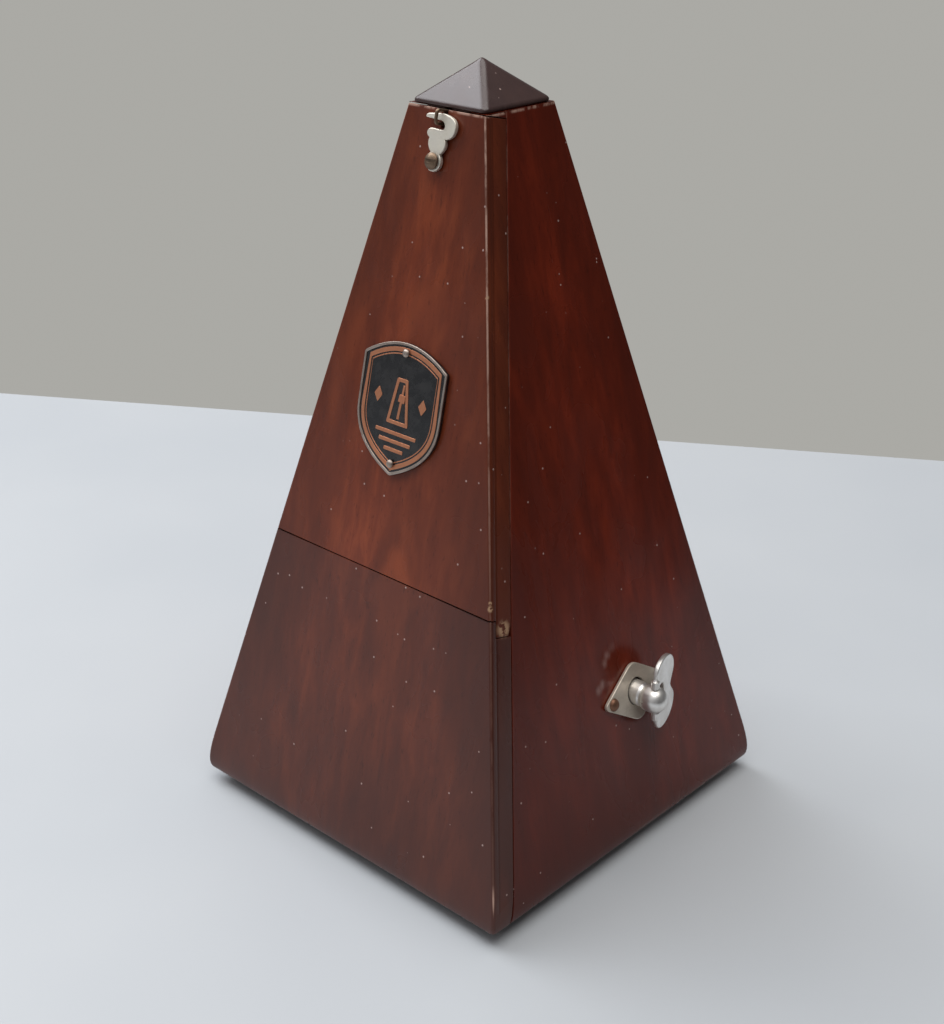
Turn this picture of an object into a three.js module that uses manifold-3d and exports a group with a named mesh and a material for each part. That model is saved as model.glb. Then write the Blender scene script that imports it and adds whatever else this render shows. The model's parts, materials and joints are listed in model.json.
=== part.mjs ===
// A wooden pyramid metronome with a clockwork movement, in millimetres, +Z up.
// The front, with its removable cover, faces -Y and the winding key stands out of the +X side.
import * as THREE from 'three';
import { mergeVertices } from 'three/addons/utils/BufferGeometryUtils.js';
import Module from 'manifold-3d';

const wasm = await Module();
wasm.setup();

// ---------------------------------------------------------------- driving dimensions
const GAP = 0.3; // air between pieces that touch
const CASE_BOTTOM = 6; // height of the base board; distances up the faces start here
const SKIRT_EDGE = 3.8; // height of the boards' lower edges, which hide most of the feet
const CASE_TOP = 208.4; // height of the case's upper edge, under the cap
const BASE_HALF = 60.25; // half the width of the case at CASE_BOTTOM
const TOP_HALF = 13.8; // half its width at its upper edge
const CASE_HEIGHT = CASE_TOP - CASE_BOTTOM;
const TAPER = (BASE_HALF - TOP_HALF) / CASE_HEIGHT; // width lost on each side per mm of height
const SKIRT_HALF = BASE_HALF + (CASE_BOTTOM - SKIRT_EDGE) * TAPER; // half its width at the lower edge
const TILT = Math.atan(TAPER); // lean of every face from upright
const WALL = 5.5; // thickness of the side and back boards
const FRONT_DEPTH = 7.7; // depth of the cover and of the lower front board
const COVER_SKIN = 2.6; // board left in front of the cover's hollow
const COVER_LIP = 5.2; // width of the cover's side lips
const SEAM = 81.2; // cover's lower edge, measured up the sloping front
const COVER_TOP = 207.45; // its upper edge, measured the same way
const TONGUE = 4.3; // length of the tongue under the cover
const TONGUE_FRONT = 2.3; // depth at which the tongue begins
const CAP_HALF = 13.1; // half the width of the cap
const CAP_BAND = 1.1; // upright band around the cap's foot
const CAP_TIP = 220.2; // top of the whole object
const FOOT_RADIUS = 6.5;
const FOOT_PLACE = 42; // distance of each foot from the middle, along X and Y

const KEY_Y = 9; // axis of the winding arbor
const KEY_Z = 46;
const HUB_RADIUS = 3.6;
const DOME_X = 59; // middle of the key hub's domed end, and of the wing's hinge
const DOME_RADIUS = 3.65;
const WING_THICKNESS = 1.5;
const WING_FOLD = THREE.MathUtils.degToRad(15); // how far the folded wing leans back to the case
const KEY_ROLL = THREE.MathUtils.degToRad(4); // turn of the key about its own axis
const ARBOR_RADIUS = 2.2;

const PLATE_THICKNESS = 1.5; // brass plates of the movement
const LEFT_PLATE_X = -28;
const RIGHT_PLATE_X = 24;
const SWING_Z = 74; // axis of the pendulum, which runs front to back at x = 0
const ROD_Y = -32; // middle of the pendulum rod's upright stretch
const ROD_DEPTH = 5.35; // depth of its leaning stretch behind the front face
const ROD_WIDTH = 3.2;
const ROD_THICKNESS = 1;
const ROD_TOP_Z = 187;
const BOB_Z = 38;
const ESCAPE_Y = -3; // axis of the crown wheel, at the pendulum's height
const TOOTH_TIP_X = -2.6; // plane of the crown wheel's tooth tips

const BADGE_X = 0.1; // middle of the badge
const BADGE_UP = 127.4; // the same, measured up the sloping front
const LATCH_X = -0.2; // screw that the latch turns on
const LATCH_UP = 193.95;
const LATCH_FOOT = 2.65; // radius of the latch's round foot
const STAPLE_X = 0.15; // staple that the latch hooks behind
const STAPLE_UP = 205.4;
const STAPLE_SPREAD = 1.7; // distance of each prong from the staple's middle
const WEIGHT_UP = 137.5; // middle of the sliding weight, up the sloping front

const GREAT_WHEEL = { teeth: 60, module: 0.8, x: 12, width: 2 };
const FIRST_PINION = { teeth: 12, module: 0.8, x: 11, width: 4 };
const SECOND_WHEEL = { teeth: 48, module: 0.6, x: -20.5, width: 1.5 };
const ESCAPE_PINION = { teeth: 10, module: 0.6, x: -22.5, width: 4.5 };
const CENTRE_SLACK = 0.15; // extra distance between meshing centres

// ---------------------------------------------------------------- colours and finishes
const finish = (color, roughness, metalness) => ({ color, roughness, metalness });
const MAHOGANY = finish(0x5a2a20, 0.25, 0);
const DARK_MAHOGANY = finish(0x46241e, 0.18, 0);
const BARE_WOOD = finish(0x9a6a42, 0.7, 0);
const NICKEL = finish(0xb9b5aa, 0.3, 1);
const DULL_NICKEL = finish(0xa29c90, 0.45, 1);
const BRASS = finish(0xb08a48, 0.35, 1);
const STEEL = finish(0x8c8f94, 0.35, 1);
const BLUE_STEEL = finish(0x3c4250, 0.35, 1);
const COPPER = finish(0xa86a4c, 0.4, 1);
const LEAD = finish(0x6d6e72, 0.6, 1);
const ENAMEL = finish(0x14120f, 0.2, 0);
const SCALE_METAL = finish(0xcfc9b8, 0.5, 0.3);

// ---------------------------------------------------------------- solids
function solid(geometry) {
  const bare = geometry.clone();
  bare.deleteAttribute('normal');
  bare.deleteAttribute('uv');
  const merged = mergeVertices(bare, 1e-4);
  const vertProperties = new Float32Array(merged.attributes.position.array);
  const triVerts = new Uint32Array(merged.index.array);
  return new wasm.Manifold(new wasm.Mesh({ numProp: 3, vertProperties, triVerts }));
}

function geometryOf(manifold) {
  const mesh = manifold.getMesh();
  const geometry = new THREE.BufferGeometry();
  geometry.setAttribute('position', new THREE.BufferAttribute(mesh.vertProperties, 3));
  geometry.setIndex(new THREE.BufferAttribute(mesh.triVerts, 1));
  geometry.computeVertexNormals();
  return geometry;
}

function without(base, ...cutters) {
  return cutters.reduce((rest, cutter) => rest.subtract(cutter), base);
}

// Box between two opposite corners.
function box(low, high) {
  const size = high.map((value, axis) => value - low[axis]);
  const middle = high.map((value, axis) => (value + low[axis]) / 2);
  return solid(new THREE.BoxGeometry(...size).translate(...middle));
}

// Places a flat outline, drawn in its own x and y, so that its x runs along `right`,
// its y along `up` and its thickness along their cross product.
function plane(right, up, origin) {
  const out = new THREE.Vector3().crossVectors(right, up);
  return new THREE.Matrix4().makeBasis(right, up, out).setPosition(origin);
}

const X_AXIS = new THREE.Vector3(1, 0, 0);
const Y_AXIS = new THREE.Vector3(0, 1, 0);
const Z_AXIS = new THREE.Vector3(0, 0, 1);
const UP_FACE = new THREE.Vector3(0, Math.sin(TILT), Math.cos(TILT)); // up the front face
const INTO_FACE = new THREE.Vector3(0, Math.cos(TILT), -Math.sin(TILT)); // into the front face
const alongX = (x, y = 0, z = 0) => plane(Y_AXIS, Z_AXIS, new THREE.Vector3(x, y, z));
const alongY = (x, y, z) => plane(Z_AXIS, X_AXIS, new THREE.Vector3(x, y, z));

// Outline extruded by `depth` along the third axis of `place`.
function plate(outline, depth, place, curveSegments = 8) {
  const geometry = new THREE.ExtrudeGeometry(outline, { depth, curveSegments, bevelEnabled: false });
  return solid(geometry.applyMatrix4(place));
}

function polygon(points) {
  return new THREE.Shape(points.map(([x, y]) => new THREE.Vector2(x, y)));
}

// Turned piece: `profile` holds [radius, distance along the axis] pairs, from axis to axis.
function turned(profile, place, segments = 24) {
  const points = profile.map(([radius, along]) => new THREE.Vector2(radius, along));
  const lathe = new THREE.LatheGeometry(points, segments).rotateX(Math.PI / 2);
  return solid(lathe.applyMatrix4(place));
}

function pin(radius, length, place, segments = 20) {
  return turned([[0, 0], [radius, 0], [radius, length], [0, length]], place, segments);
}

const parts = [];
function node(name, manifold, look) {
  const mesh = new THREE.Mesh(geometryOf(manifold), new THREE.MeshStandardMaterial(look));
  mesh.name = name;
  parts.push(mesh);
}

// ---------------------------------------------------------------- the pyramid and its faces
const FRONT = 0;
const RIGHT = Math.PI / 2;
const BACK = Math.PI;
const LEFT = -Math.PI / 2;

// Frame of one sloping face: x along the face, y into it, z up it.
function faceFrame(turn) {
  const frame = new THREE.Matrix4().makeRotationZ(turn);
  frame.multiply(new THREE.Matrix4().makeTranslation(0, -BASE_HALF, CASE_BOTTOM));
  return frame.multiply(new THREE.Matrix4().makeRotationX(-TILT));
}

// Slab that lies between two depths of a face and between two heights up it.
function slab(turn, depthFrom, depthTo, upFrom = -20, upTo = 230, half = 100) {
  const geometry = new THREE.BoxGeometry(2 * half, depthTo - depthFrom, upTo - upFrom);
  geometry.translate(0, (depthFrom + depthTo) / 2, (upFrom + upTo) / 2);
  return solid(geometry.applyMatrix4(faceFrame(turn)));
}

// Point of the front face's frame in the model's frame.
function frontPoint(x, depth, up) {
  return new THREE.Vector3(x, depth, up).applyMatrix4(faceFrame(FRONT));
}

// Frame for flat pieces on the front: x to the right, y up the slope, thickness outward.
function onFront(x, depth, up) {
  return plane(X_AXIS, UP_FACE, frontPoint(x, depth, up));
}

function pyramid() {
  const half = Math.SQRT2;
  const height = CASE_TOP - SKIRT_EDGE;
  const geometry = new THREE.CylinderGeometry(TOP_HALF * half, SKIRT_HALF * half, height, 4, 1);
  geometry.rotateY(Math.PI / 4).rotateX(Math.PI / 2);
  return solid(geometry.translate(0, 0, (SKIRT_EDGE + CASE_TOP) / 2));
}

const outer = pyramid();
const frontZone = slab(FRONT, -5, FRONT_DEPTH + 0.35, -20, COVER_TOP + GAP);
const sideZones = [slab(RIGHT, -5, WALL + GAP), slab(LEFT, -5, WALL + GAP)];
const backZone = slab(BACK, -5, WALL + GAP);

// ---------------------------------------------------------------- case
function sidePanel(turn) {
  const board = outer.intersect(slab(turn, -1, WALL)).subtract(frontZone);
  if (turn === LEFT) return board;
  const pinHoles = [-1, 1].map((side) => pin(0.9, 6, onRight(KEY_Y + side * LOZENGE_PINS, 3, KEY_UP), 12));
  return without(board, pin(HUB_RADIUS + 1, 30, alongX(35, KEY_Y, KEY_Z), 28), ...pinHoles);
}

function backPanel() {
  return without(outer.intersect(slab(BACK, -1, WALL)), ...sideZones);
}

function lowerFrontPanel() {
  const board = outer.intersect(slab(FRONT, -1, FRONT_DEPTH, -20, SEAM - 0.15));
  const rebate = slab(FRONT, TONGUE_FRONT - GAP, FRONT_DEPTH + 1, SEAM - TONGUE - GAP, SEAM + 9);
  return board.subtract(rebate);
}

// Slot for the staple, open at the cover's upper edge.
function staplePassage(width, depthTo, upFrom) {
  return slab(FRONT, -3, depthTo, upFrom, COVER_TOP + 2, width / 2)
    .translate(STAPLE_X, 0, 0);
}

// Its tongue's back corner is cut away, to clear the side boards as the cover tilts.
function frontCover() {
  const board = slab(FRONT, -1, FRONT_DEPTH, SEAM + 0.15, COVER_TOP);
  const profile = polygon([
    [TONGUE_FRONT, -TONGUE], [6.6, -TONGUE], [FRONT_DEPTH - 0.1, -1.9], [FRONT_DEPTH, 1], [TONGUE_FRONT, 1],
  ]);
  const tongue = plate(profile, 200, plane(INTO_FACE, UP_FACE, frontPoint(-100, 0, SEAM)));
  const hollow = slab(FRONT, COVER_SKIN, FRONT_DEPTH + 1, 86, 201.5);
  const lips = [slab(RIGHT, -5, COVER_LIP), slab(LEFT, -5, COVER_LIP)];
  const body = outer.intersect(board.add(tongue)).subtract(without(hollow, ...lips));
  const screwHole = pin(1, 12, plane(X_AXIS, UP_FACE, frontPoint(LATCH_X, 6, LATCH_UP)));
  const pinHoles = BADGE_PINS.map((up) => pin(0.8, 6, onFront(BADGE_X, 4, up), 12));
  return without(body, staplePassage(1.8, 9, STAPLE_UP - 2.9), screwHole, ...pinHoles);
}

function topBlock() {
  const block = outer.intersect(box([-40, -40, 192], [40, 40, CASE_TOP]));
  const recess = staplePassage(2.4, FRONT_DEPTH + 2.6, STAPLE_UP - 3);
  return without(block, ...sideZones, backZone, frontZone, recess);
}

function baseBoard() {
  const board = outer.intersect(box([-70, -70, CASE_BOTTOM + GAP], [70, 70, CASE_BOTTOM + 6]));
  return without(board, ...sideZones, backZone, frontZone);
}

// Low four-sided roof with an upright band at its foot.
function cap() {
  const foot = CASE_TOP + GAP;
  const band = box([-CAP_HALF, -CAP_HALF, foot], [CAP_HALF, CAP_HALF, foot + CAP_BAND]);
  const roofHeight = CAP_TIP - foot - CAP_BAND + 0.05;
  const roof = new THREE.CylinderGeometry(0.9, CAP_HALF * Math.SQRT2, roofHeight, 4, 1);
  roof.rotateY(Math.PI / 4).rotateX(Math.PI / 2).translate(0, 0, CAP_TIP - roofHeight / 2);
  return band.add(solid(roof));
}

function foot(x, y) {
  const profile = [[0, 0], [5, 0], [6.1, 0.8], [FOOT_RADIUS, 2.4], [6.1, 4.6], [5.2, 6], [0, 6]];
  return turned(profile, new THREE.Matrix4().makeTranslation(x, y, 0), 24);
}

function addCase() {
  node('left_side_panel', sidePanel(LEFT), MAHOGANY);
  node('right_side_panel', sidePanel(RIGHT), MAHOGANY);
  node('back_panel', backPanel(), MAHOGANY);
  node('lower_front_panel', lowerFrontPanel(), MAHOGANY);
  node('top_block', topBlock(), DARK_MAHOGANY);
  node('base_board', baseBoard(), BARE_WOOD);
  node('cap', cap(), DARK_MAHOGANY);
  for (const [end, y] of [['front', -FOOT_PLACE], ['back', FOOT_PLACE]]) {
    for (const [side, x] of [['left', -FOOT_PLACE], ['right', FOOT_PLACE]]) {
      node(`foot_${end}_${side}`, foot(x, y), DARK_MAHOGANY);
    }
  }
}

// ---------------------------------------------------------------- cover, badge and latch
const BADGE_HALF_WIDTH = 15.4;
const BADGE_HALF_HEIGHT = 18.3;
const BADGE_PINS = [BADGE_UP + 15.6, BADGE_UP - 15];

// Plain shield: a gently arched top, straight shoulders and a pointed foot.
function badgeOutline() {
  const w = BADGE_HALF_WIDTH;
  const h = BADGE_HALF_HEIGHT;
  const outline = new THREE.Shape();
  outline.moveTo(-w, h * 0.72);
  outline.quadraticCurveTo(0, h * 1.28, w, h * 0.72);
  outline.lineTo(w, -h * 0.05);
  outline.bezierCurveTo(w, -h * 0.6, w * 0.45, -h * 0.85, 0, -h);
  outline.bezierCurveTo(-w * 0.45, -h * 0.85, -w, -h * 0.6, -w, -h * 0.05);
  outline.closePath();
  return outline;
}

function badge() {
  const shield = plate(badgeOutline(), 1, onFront(BADGE_X, -0.2, BADGE_UP), 14);
  return without(shield, ...BADGE_PINS.map((up) => pin(0.8, 6, onFront(BADGE_X, 3, up), 12)));
}

function badgePin(up) {
  const profile = [[0, 0], [0.5, 0], [0.5, 3.9], [1.2, 3.9], [1.05, 4.3], [0.5, 4.6], [0, 4.6]];
  return turned(profile, onFront(BADGE_X, 2.4, up), 16);
}

// Latch outline about its screw: round foot, oval body, thumb nub and an arm that curls
// back over the screw's axis to end in a tapering hook.
function latchOutline() {
  const outline = new THREE.Shape();
  outline.absarc(0, 0, LATCH_FOOT, 2.1, 2 * Math.PI + 0.8, false);
  outline.bezierCurveTo(2.6, 2.6, 3.45, 3.4, 3.45, 4.5);
  outline.bezierCurveTo(3.45, 5.1, 3.3, 5.5, 3.0, 5.9);
  outline.bezierCurveTo(4.9, 6.0, 6.2, 7.4, 6.2, 9.2);
  outline.bezierCurveTo(6.2, 10.4, 5.6, 11.2, 4.5, 11.7);
  outline.bezierCurveTo(3.4, 12.2, 1.8, 12.45, 0.5, 12.45);
  outline.lineTo(-3.3, 12.05);
  outline.bezierCurveTo(-4.6, 11.9, -5.1, 11.1, -4.3, 10.8);
  outline.lineTo(0.5, 10.65);
  outline.bezierCurveTo(2.1, 10.5, 2.7, 9.5, 2.2, 8.45);
  outline.bezierCurveTo(0.7, 8.0, -0.4, 8.5, -1.7, 8.4);
  outline.bezierCurveTo(-3.6, 8.5, -4.3, 6.6, -2.5, 5.9);
  outline.bezierCurveTo(-2.9, 4.6, -2.6, 3.4, -1.34, 2.29);
  const hole = new THREE.Path();
  hole.absarc(0, 0, 1.1, 0, 2 * Math.PI, true);
  outline.holes.push(hole);
  return outline;
}

// Domed screw with a cut across its head; its shank goes through the latch into the cover.
function latchScrew() {
  const profile = [[0, 0], [0.7, 0], [0.7, 4.3], [2.25, 4.3], [2.2, 4.7], [1.5, 5.3], [0, 5.6]];
  const screw = turned(profile, onFront(LATCH_X, 2.2, LATCH_UP), 24);
  const cut = solid(new THREE.BoxGeometry(6, 0.9, 0.6)
    .translate(LATCH_X, -3.2, LATCH_UP)
    .applyMatrix4(faceFrame(FRONT)));
  return screw.subtract(cut);
}

// Two prongs that the latch's hook swings between, joined by a bridge behind the cover.
function latchStaple() {
  const bridgeDepth = FRONT_DEPTH + 1.2;
  const prong = (up) => pin(0.5, bridgeDepth + 3.1, onFront(STAPLE_X, bridgeDepth, up), 12);
  const bridge = slab(FRONT, FRONT_DEPTH + 0.7, FRONT_DEPTH + 1.9, STAPLE_UP - 2.3, STAPLE_UP + 2.3, 0.8)
    .translate(STAPLE_X, 0, 0);
  return bridge.add(prong(STAPLE_UP - STAPLE_SPREAD)).add(prong(STAPLE_UP + STAPLE_SPREAD));
}

function addCover() {
  node('front_cover', frontCover(), MAHOGANY);
  node('badge', badge(), ENAMEL);
  node('badge_pin_upper', badgePin(BADGE_PINS[0]), NICKEL);
  node('badge_pin_lower', badgePin(BADGE_PINS[1]), NICKEL);
  node('latch_hook', plate(latchOutline(), 1.2, onFront(LATCH_X, -0.6, LATCH_UP), 5), NICKEL);
  node('latch_screw', latchScrew(), BRASS);
  node('latch_staple', latchStaple(), DULL_NICKEL);
}

// ---------------------------------------------------------------- winding key
const keyPlace = new THREE.Matrix4().makeTranslation(DOME_X, KEY_Y, KEY_Z)
  .multiply(new THREE.Matrix4().makeRotationX(KEY_ROLL));

// Lozenge plate with rounded corners, lying on the sloping side.
const LOZENGE_LENGTH = 14.6; // half its length, front to back
const LOZENGE_HEIGHT = 9.2; // half its height, up the side
const LOZENGE_PINS = 10.4; // distance of each pin from the middle

function onRight(y, depth, up) {
  const origin = new THREE.Vector3(y, depth, up).applyMatrix4(faceFrame(RIGHT));
  const upRight = new THREE.Vector3(-Math.sin(TILT), 0, Math.cos(TILT));
  return plane(Y_AXIS, upRight, origin);
}

const KEY_UP = (KEY_Z - CASE_BOTTOM) / Math.cos(TILT);

function escutcheon() {
  const corners = [[LOZENGE_LENGTH, 0], [0, LOZENGE_HEIGHT], [-LOZENGE_LENGTH, 0], [0, -LOZENGE_HEIGHT]];
  const outline = new THREE.Shape();
  corners.forEach(([x, y], index) => {
    const [nextX, nextY] = corners[(index + 1) % corners.length];
    const [backX, backY] = corners[(index + 3) % corners.length];
    const rounding = 0.16;
    const start = [x + (backX - x) * rounding, y + (backY - y) * rounding];
    if (index === 0) outline.moveTo(...start);
    else outline.lineTo(...start);
    outline.quadraticCurveTo(x, y, x + (nextX - x) * rounding, y + (nextY - y) * rounding);
  });
  outline.closePath();
  const lozenge = plate(outline, 1.2, onRight(KEY_Y, -0.2, KEY_UP), 4);
  const pinHoles = [-1, 1].map((side) => pin(0.9, 6, onRight(KEY_Y + side * LOZENGE_PINS, 3, KEY_UP), 12));
  return without(lozenge, pin(HUB_RADIUS + 0.6, 30, alongX(35, KEY_Y, KEY_Z), 28), ...pinHoles);
}

function escutcheonPin(side) {
  const profile = [[0, 0], [0.6, 0], [0.6, 1.9], [1.55, 1.9], [1.45, 2.5], [0.8, 2.95], [0, 3.05]];
  return turned(profile, onRight(KEY_Y + side * LOZENGE_PINS, 0.2, KEY_UP), 20);
}

function keyHub() {
  const start = 44 - DOME_X;
  const profile = [[0, start], [HUB_RADIUS, start], [HUB_RADIUS, -4.2], [HUB_RADIUS - 0.45, -3.9]];
  profile.push([HUB_RADIUS - 0.45, -3.6], [DOME_RADIUS, -3.3], [DOME_RADIUS, 0]);
  for (let step = 1; step < 8; step += 1) {
    const angle = (step / 8) * (Math.PI / 2);
    profile.push([DOME_RADIUS * Math.cos(angle), DOME_RADIUS * Math.sin(angle)]);
  }
  profile.push([0, DOME_RADIUS]);
  const hub = turned(profile, keyPlace.clone().multiply(alongX(0)), 32);
  const bore = pin(ARBOR_RADIUS + GAP, 7, alongX(43, KEY_Y, KEY_Z), 24);
  const pinBore = pin(1.05, 12, keyPlace.clone().multiply(new THREE.Matrix4().makeTranslation(0, 0, -6)));
  return without(hub, bore, pinBore);
}

function wingPin() {
  const place = keyPlace.clone().multiply(new THREE.Matrix4().makeTranslation(0, 0, -6.7));
  return pin(0.75, 13.4, place, 14);
}

// Butterfly wing, drawn with x away from the hinge and y along it.
function wingOutline() {
  const outline = new THREE.Shape();
  outline.moveTo(-1.2, 3.95);
  outline.lineTo(-1.2, 6.4);
  outline.bezierCurveTo(-0.4, 6.6, -0.1, 7.2, -0.1, 8.2);
  outline.bezierCurveTo(-0.1, 10.6, 2.0, 12.0, 5.4, 12.0);
  outline.bezierCurveTo(10.2, 12.0, 13.5, 9.0, 13.5, 5.6);
  outline.bezierCurveTo(13.5, 3.0, 11.5, 2.0, 10.9, 0);
  outline.bezierCurveTo(11.5, -2.0, 13.5, -3.0, 13.5, -5.6);
  outline.bezierCurveTo(13.5, -9.0, 10.2, -12.0, 5.4, -12.0);
  outline.bezierCurveTo(2.0, -12.0, -0.1, -10.6, -0.1, -8.2);
  outline.bezierCurveTo(-0.1, -7.2, -0.4, -6.6, -1.2, -6.4);
  outline.lineTo(-1.2, -3.95);
  outline.lineTo(3.4, -3.95);
  outline.bezierCurveTo(5.8, -3.2, 5.8, 3.2, 3.4, 3.95);
  outline.closePath();
  return outline;
}

function keyWing() {
  const outward = new THREE.Vector3(-Math.sin(WING_FOLD), Math.cos(WING_FOLD), 0);
  const flat = plane(outward, Z_AXIS, new THREE.Vector3());
  const middle = new THREE.Matrix4().makeTranslation(0, 0, -WING_THICKNESS / 2);
  const blade = plate(wingOutline(), WING_THICKNESS, keyPlace.clone().multiply(flat).multiply(middle), 5);
  const along = (z) => keyPlace.clone().multiply(new THREE.Matrix4().makeTranslation(0, 0, z));
  const knuckles = [pin(1.8, 2.45, along(3.95), 20), pin(1.8, 2.45, along(-6.4), 20)];
  return blade.add(knuckles[0]).add(knuckles[1]).subtract(pin(1.05, 14, along(-7), 16));
}

function windingArbor() {
  const end = 49.5 - LEFT_PLATE_X + 1.2;
  const shoulder = PLATE_THICKNESS + 1.5;
  const profile = [[0, 0], [1.4, 0], [1.4, shoulder], [ARBOR_RADIUS, shoulder]];
  profile.push([ARBOR_RADIUS, end], [0, end]);
  return turned(profile, alongX(LEFT_PLATE_X - 1.2, KEY_Y, KEY_Z), 24);
}

function addKey() {
  node('key_escutcheon', escutcheon(), DULL_NICKEL);
  node('escutcheon_pin_front', escutcheonPin(-1), COPPER);
  node('escutcheon_pin_back', escutcheonPin(1), COPPER);
  node('key_hub', keyHub(), NICKEL);
  node('key_wing_pin', wingPin(), STEEL);
  node('key_wing', keyWing(), NICKEL);
  node('winding_arbor', windingArbor(), STEEL);
}

// ---------------------------------------------------------------- wheels and their centres
const pitchRadius = (wheel) => (wheel.teeth * wheel.module) / 2;
const greatCentre = [KEY_Y, KEY_Z];
const escapeCentre = [ESCAPE_Y, SWING_Z];

// The second arbor stands behind the line between its two neighbours, in mesh with both.
function secondCentre() {
  const reachA = pitchRadius(GREAT_WHEEL) + pitchRadius(FIRST_PINION) + CENTRE_SLACK;
  const reachB = pitchRadius(SECOND_WHEEL) + pitchRadius(ESCAPE_PINION) + CENTRE_SLACK;
  const alongY = escapeCentre[0] - greatCentre[0];
  const alongZ = escapeCentre[1] - greatCentre[1];
  const distance = Math.hypot(alongY, alongZ);
  const along = (reachA ** 2 - reachB ** 2 + distance ** 2) / (2 * distance);
  const aside = Math.sqrt(reachA ** 2 - along ** 2);
  const y = greatCentre[0] + (along * alongY + aside * alongZ) / distance;
  const z = greatCentre[1] + (along * alongZ - aside * alongY) / distance;
  return [y, z];
}

const middleCentre = secondCentre();

// Involute teeth, thinned for running clearance, with one tooth centred on `phase`.
function gearOutline({ teeth, module }, phase, bore) {
  const pitch = (teeth * module) / 2;
  const base = pitch * Math.cos(Math.PI / 9);
  const involute = (radius) => {
    const angle = Math.acos(Math.min(1, base / radius));
    return Math.tan(angle) - angle;
  };
  const halfAt = (radius) => 0.4 * (Math.PI / teeth) + involute(pitch) - involute(radius);
  const root = pitch - 1.05 * module;
  const tip = pitch + 0.8 * module;
  const radii = [root, Math.max(base, root + 0.05), pitch, tip];
  const points = [];
  for (let tooth = 0; tooth < teeth; tooth += 1) {
    const middle = phase + (tooth * 2 * Math.PI) / teeth;
    const flank = radii.map((radius) => [radius, halfAt(Math.max(radius, base))]);
    const rising = flank.map(([radius, half]) => [radius, middle - half]);
    const falling = flank.map(([radius, half]) => [radius, middle + half]).reverse();
    for (const [radius, angle] of [...rising, ...falling]) {
      points.push([radius * Math.cos(angle), radius * Math.sin(angle)]);
    }
  }
  const outline = polygon(points);
  const hole = new THREE.Path();
  hole.absarc(0, 0, bore, 0, 2 * Math.PI, true);
  outline.holes.push(hole);
  return outline;
}

function gear(wheel, centre, phase, bore) {
  return plate(gearOutline(wheel, phase, bore), wheel.width, alongX(wheel.x, ...centre), 8);
}

const bearing = (from, to) => Math.atan2(to[1] - from[1], to[0] - from[0]);
const halfPitch = (wheel) => Math.PI / wheel.teeth;

const CLICK_ANGLE = THREE.MathUtils.degToRad(-60);
const CLICK_REACH = 13; // distance of the click's screw from the great wheel's axis
const clickPivot = [
  greatCentre[0] + CLICK_REACH * Math.cos(CLICK_ANGLE),
  greatCentre[1] + CLICK_REACH * Math.sin(CLICK_ANGLE),
];
const RATCHET_X = 15.2;
const RATCHET_OUTER = 7;

function greatWheel() {
  const disc = gear(GREAT_WHEEL, greatCentre, bearing(greatCentre, middleCentre), ARBOR_RADIUS + GAP);
  const windows = [];
  for (let index = 0; index < 5; index += 1) {
    const angle = (index * 2 * Math.PI) / 5 + 0.35;
    const y = greatCentre[0] + 17.6 * Math.cos(angle);
    const z = greatCentre[1] + 17.6 * Math.sin(angle);
    windows.push(pin(3.7, 6, alongX(GREAT_WHEEL.x - 2, y, z), 16));
  }
  return without(disc, pin(1.2, 6, alongX(GREAT_WHEEL.x - 2, ...clickPivot), 14), ...windows);
}

function ratchetWheel() {
  const teeth = 12;
  const points = [];
  for (let tooth = 0; tooth < teeth; tooth += 1) {
    const angle = (tooth * 2 * Math.PI) / teeth;
    points.push([RATCHET_OUTER * Math.cos(angle), RATCHET_OUTER * Math.sin(angle)]);
    points.push([5.4 * Math.cos(angle + 0.06), 5.4 * Math.sin(angle + 0.06)]);
  }
  const outline = polygon(points);
  const hole = new THREE.Path();
  hole.absarc(0, 0, ARBOR_RADIUS + GAP, 0, 2 * Math.PI, true);
  outline.holes.push(hole);
  return plate(outline, 1.6, alongX(RATCHET_X, ...greatCentre), 8);
}

// Pawl drawn with its screw at the origin and its tip on the x axis.
function click() {
  const outline = new THREE.Shape();
  outline.absarc(0, 0, 2.1, 0.6, 2 * Math.PI - 0.6, false);
  outline.lineTo(8.2, -0.4);
  outline.lineTo(8.2, 0.4);
  outline.closePath();
  const hole = new THREE.Path();
  hole.absarc(0, 0, 1.2, 0, 2 * Math.PI, true);
  outline.holes.push(hole);
  const tipAngle = CLICK_ANGLE - THREE.MathUtils.degToRad(38);
  const tip = [
    greatCentre[0] + (RATCHET_OUTER + 0.85) * Math.cos(tipAngle),
    greatCentre[1] + (RATCHET_OUTER + 0.85) * Math.sin(tipAngle),
  ];
  const turn = new THREE.Matrix4().makeRotationZ(bearing(clickPivot, tip));
  return plate(outline, 1.6, alongX(RATCHET_X, ...clickPivot).multiply(turn), 6);
}

function clickScrew() {
  const profile = [[0, 0], [0.9, 0], [0.9, 5], [1.9, 5], [1.9, 5.6], [0, 5.9]];
  return turned(profile, alongX(12.3, ...clickPivot), 16);
}

// Bent spring wire that presses on the click's back, with its foot on the great wheel.
function clickSpring() {
  const outline = new THREE.Shape();
  const start = CLICK_ANGLE - 1.5;
  const end = CLICK_ANGLE - 0.42;
  outline.absarc(0, 0, 11.4, start, end, false);
  outline.absarc(0, 0, 11, end, start, true);
  outline.closePath();
  const strip = plate(outline, 1.2, alongX(RATCHET_X + 0.2, ...greatCentre), 8);
  const footY = greatCentre[0] + 11.2 * Math.cos(start);
  const footZ = greatCentre[1] + 11.2 * Math.sin(start);
  return strip.add(pin(1.2, 2.1, alongX(14.3, footY, footZ), 12));
}

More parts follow.
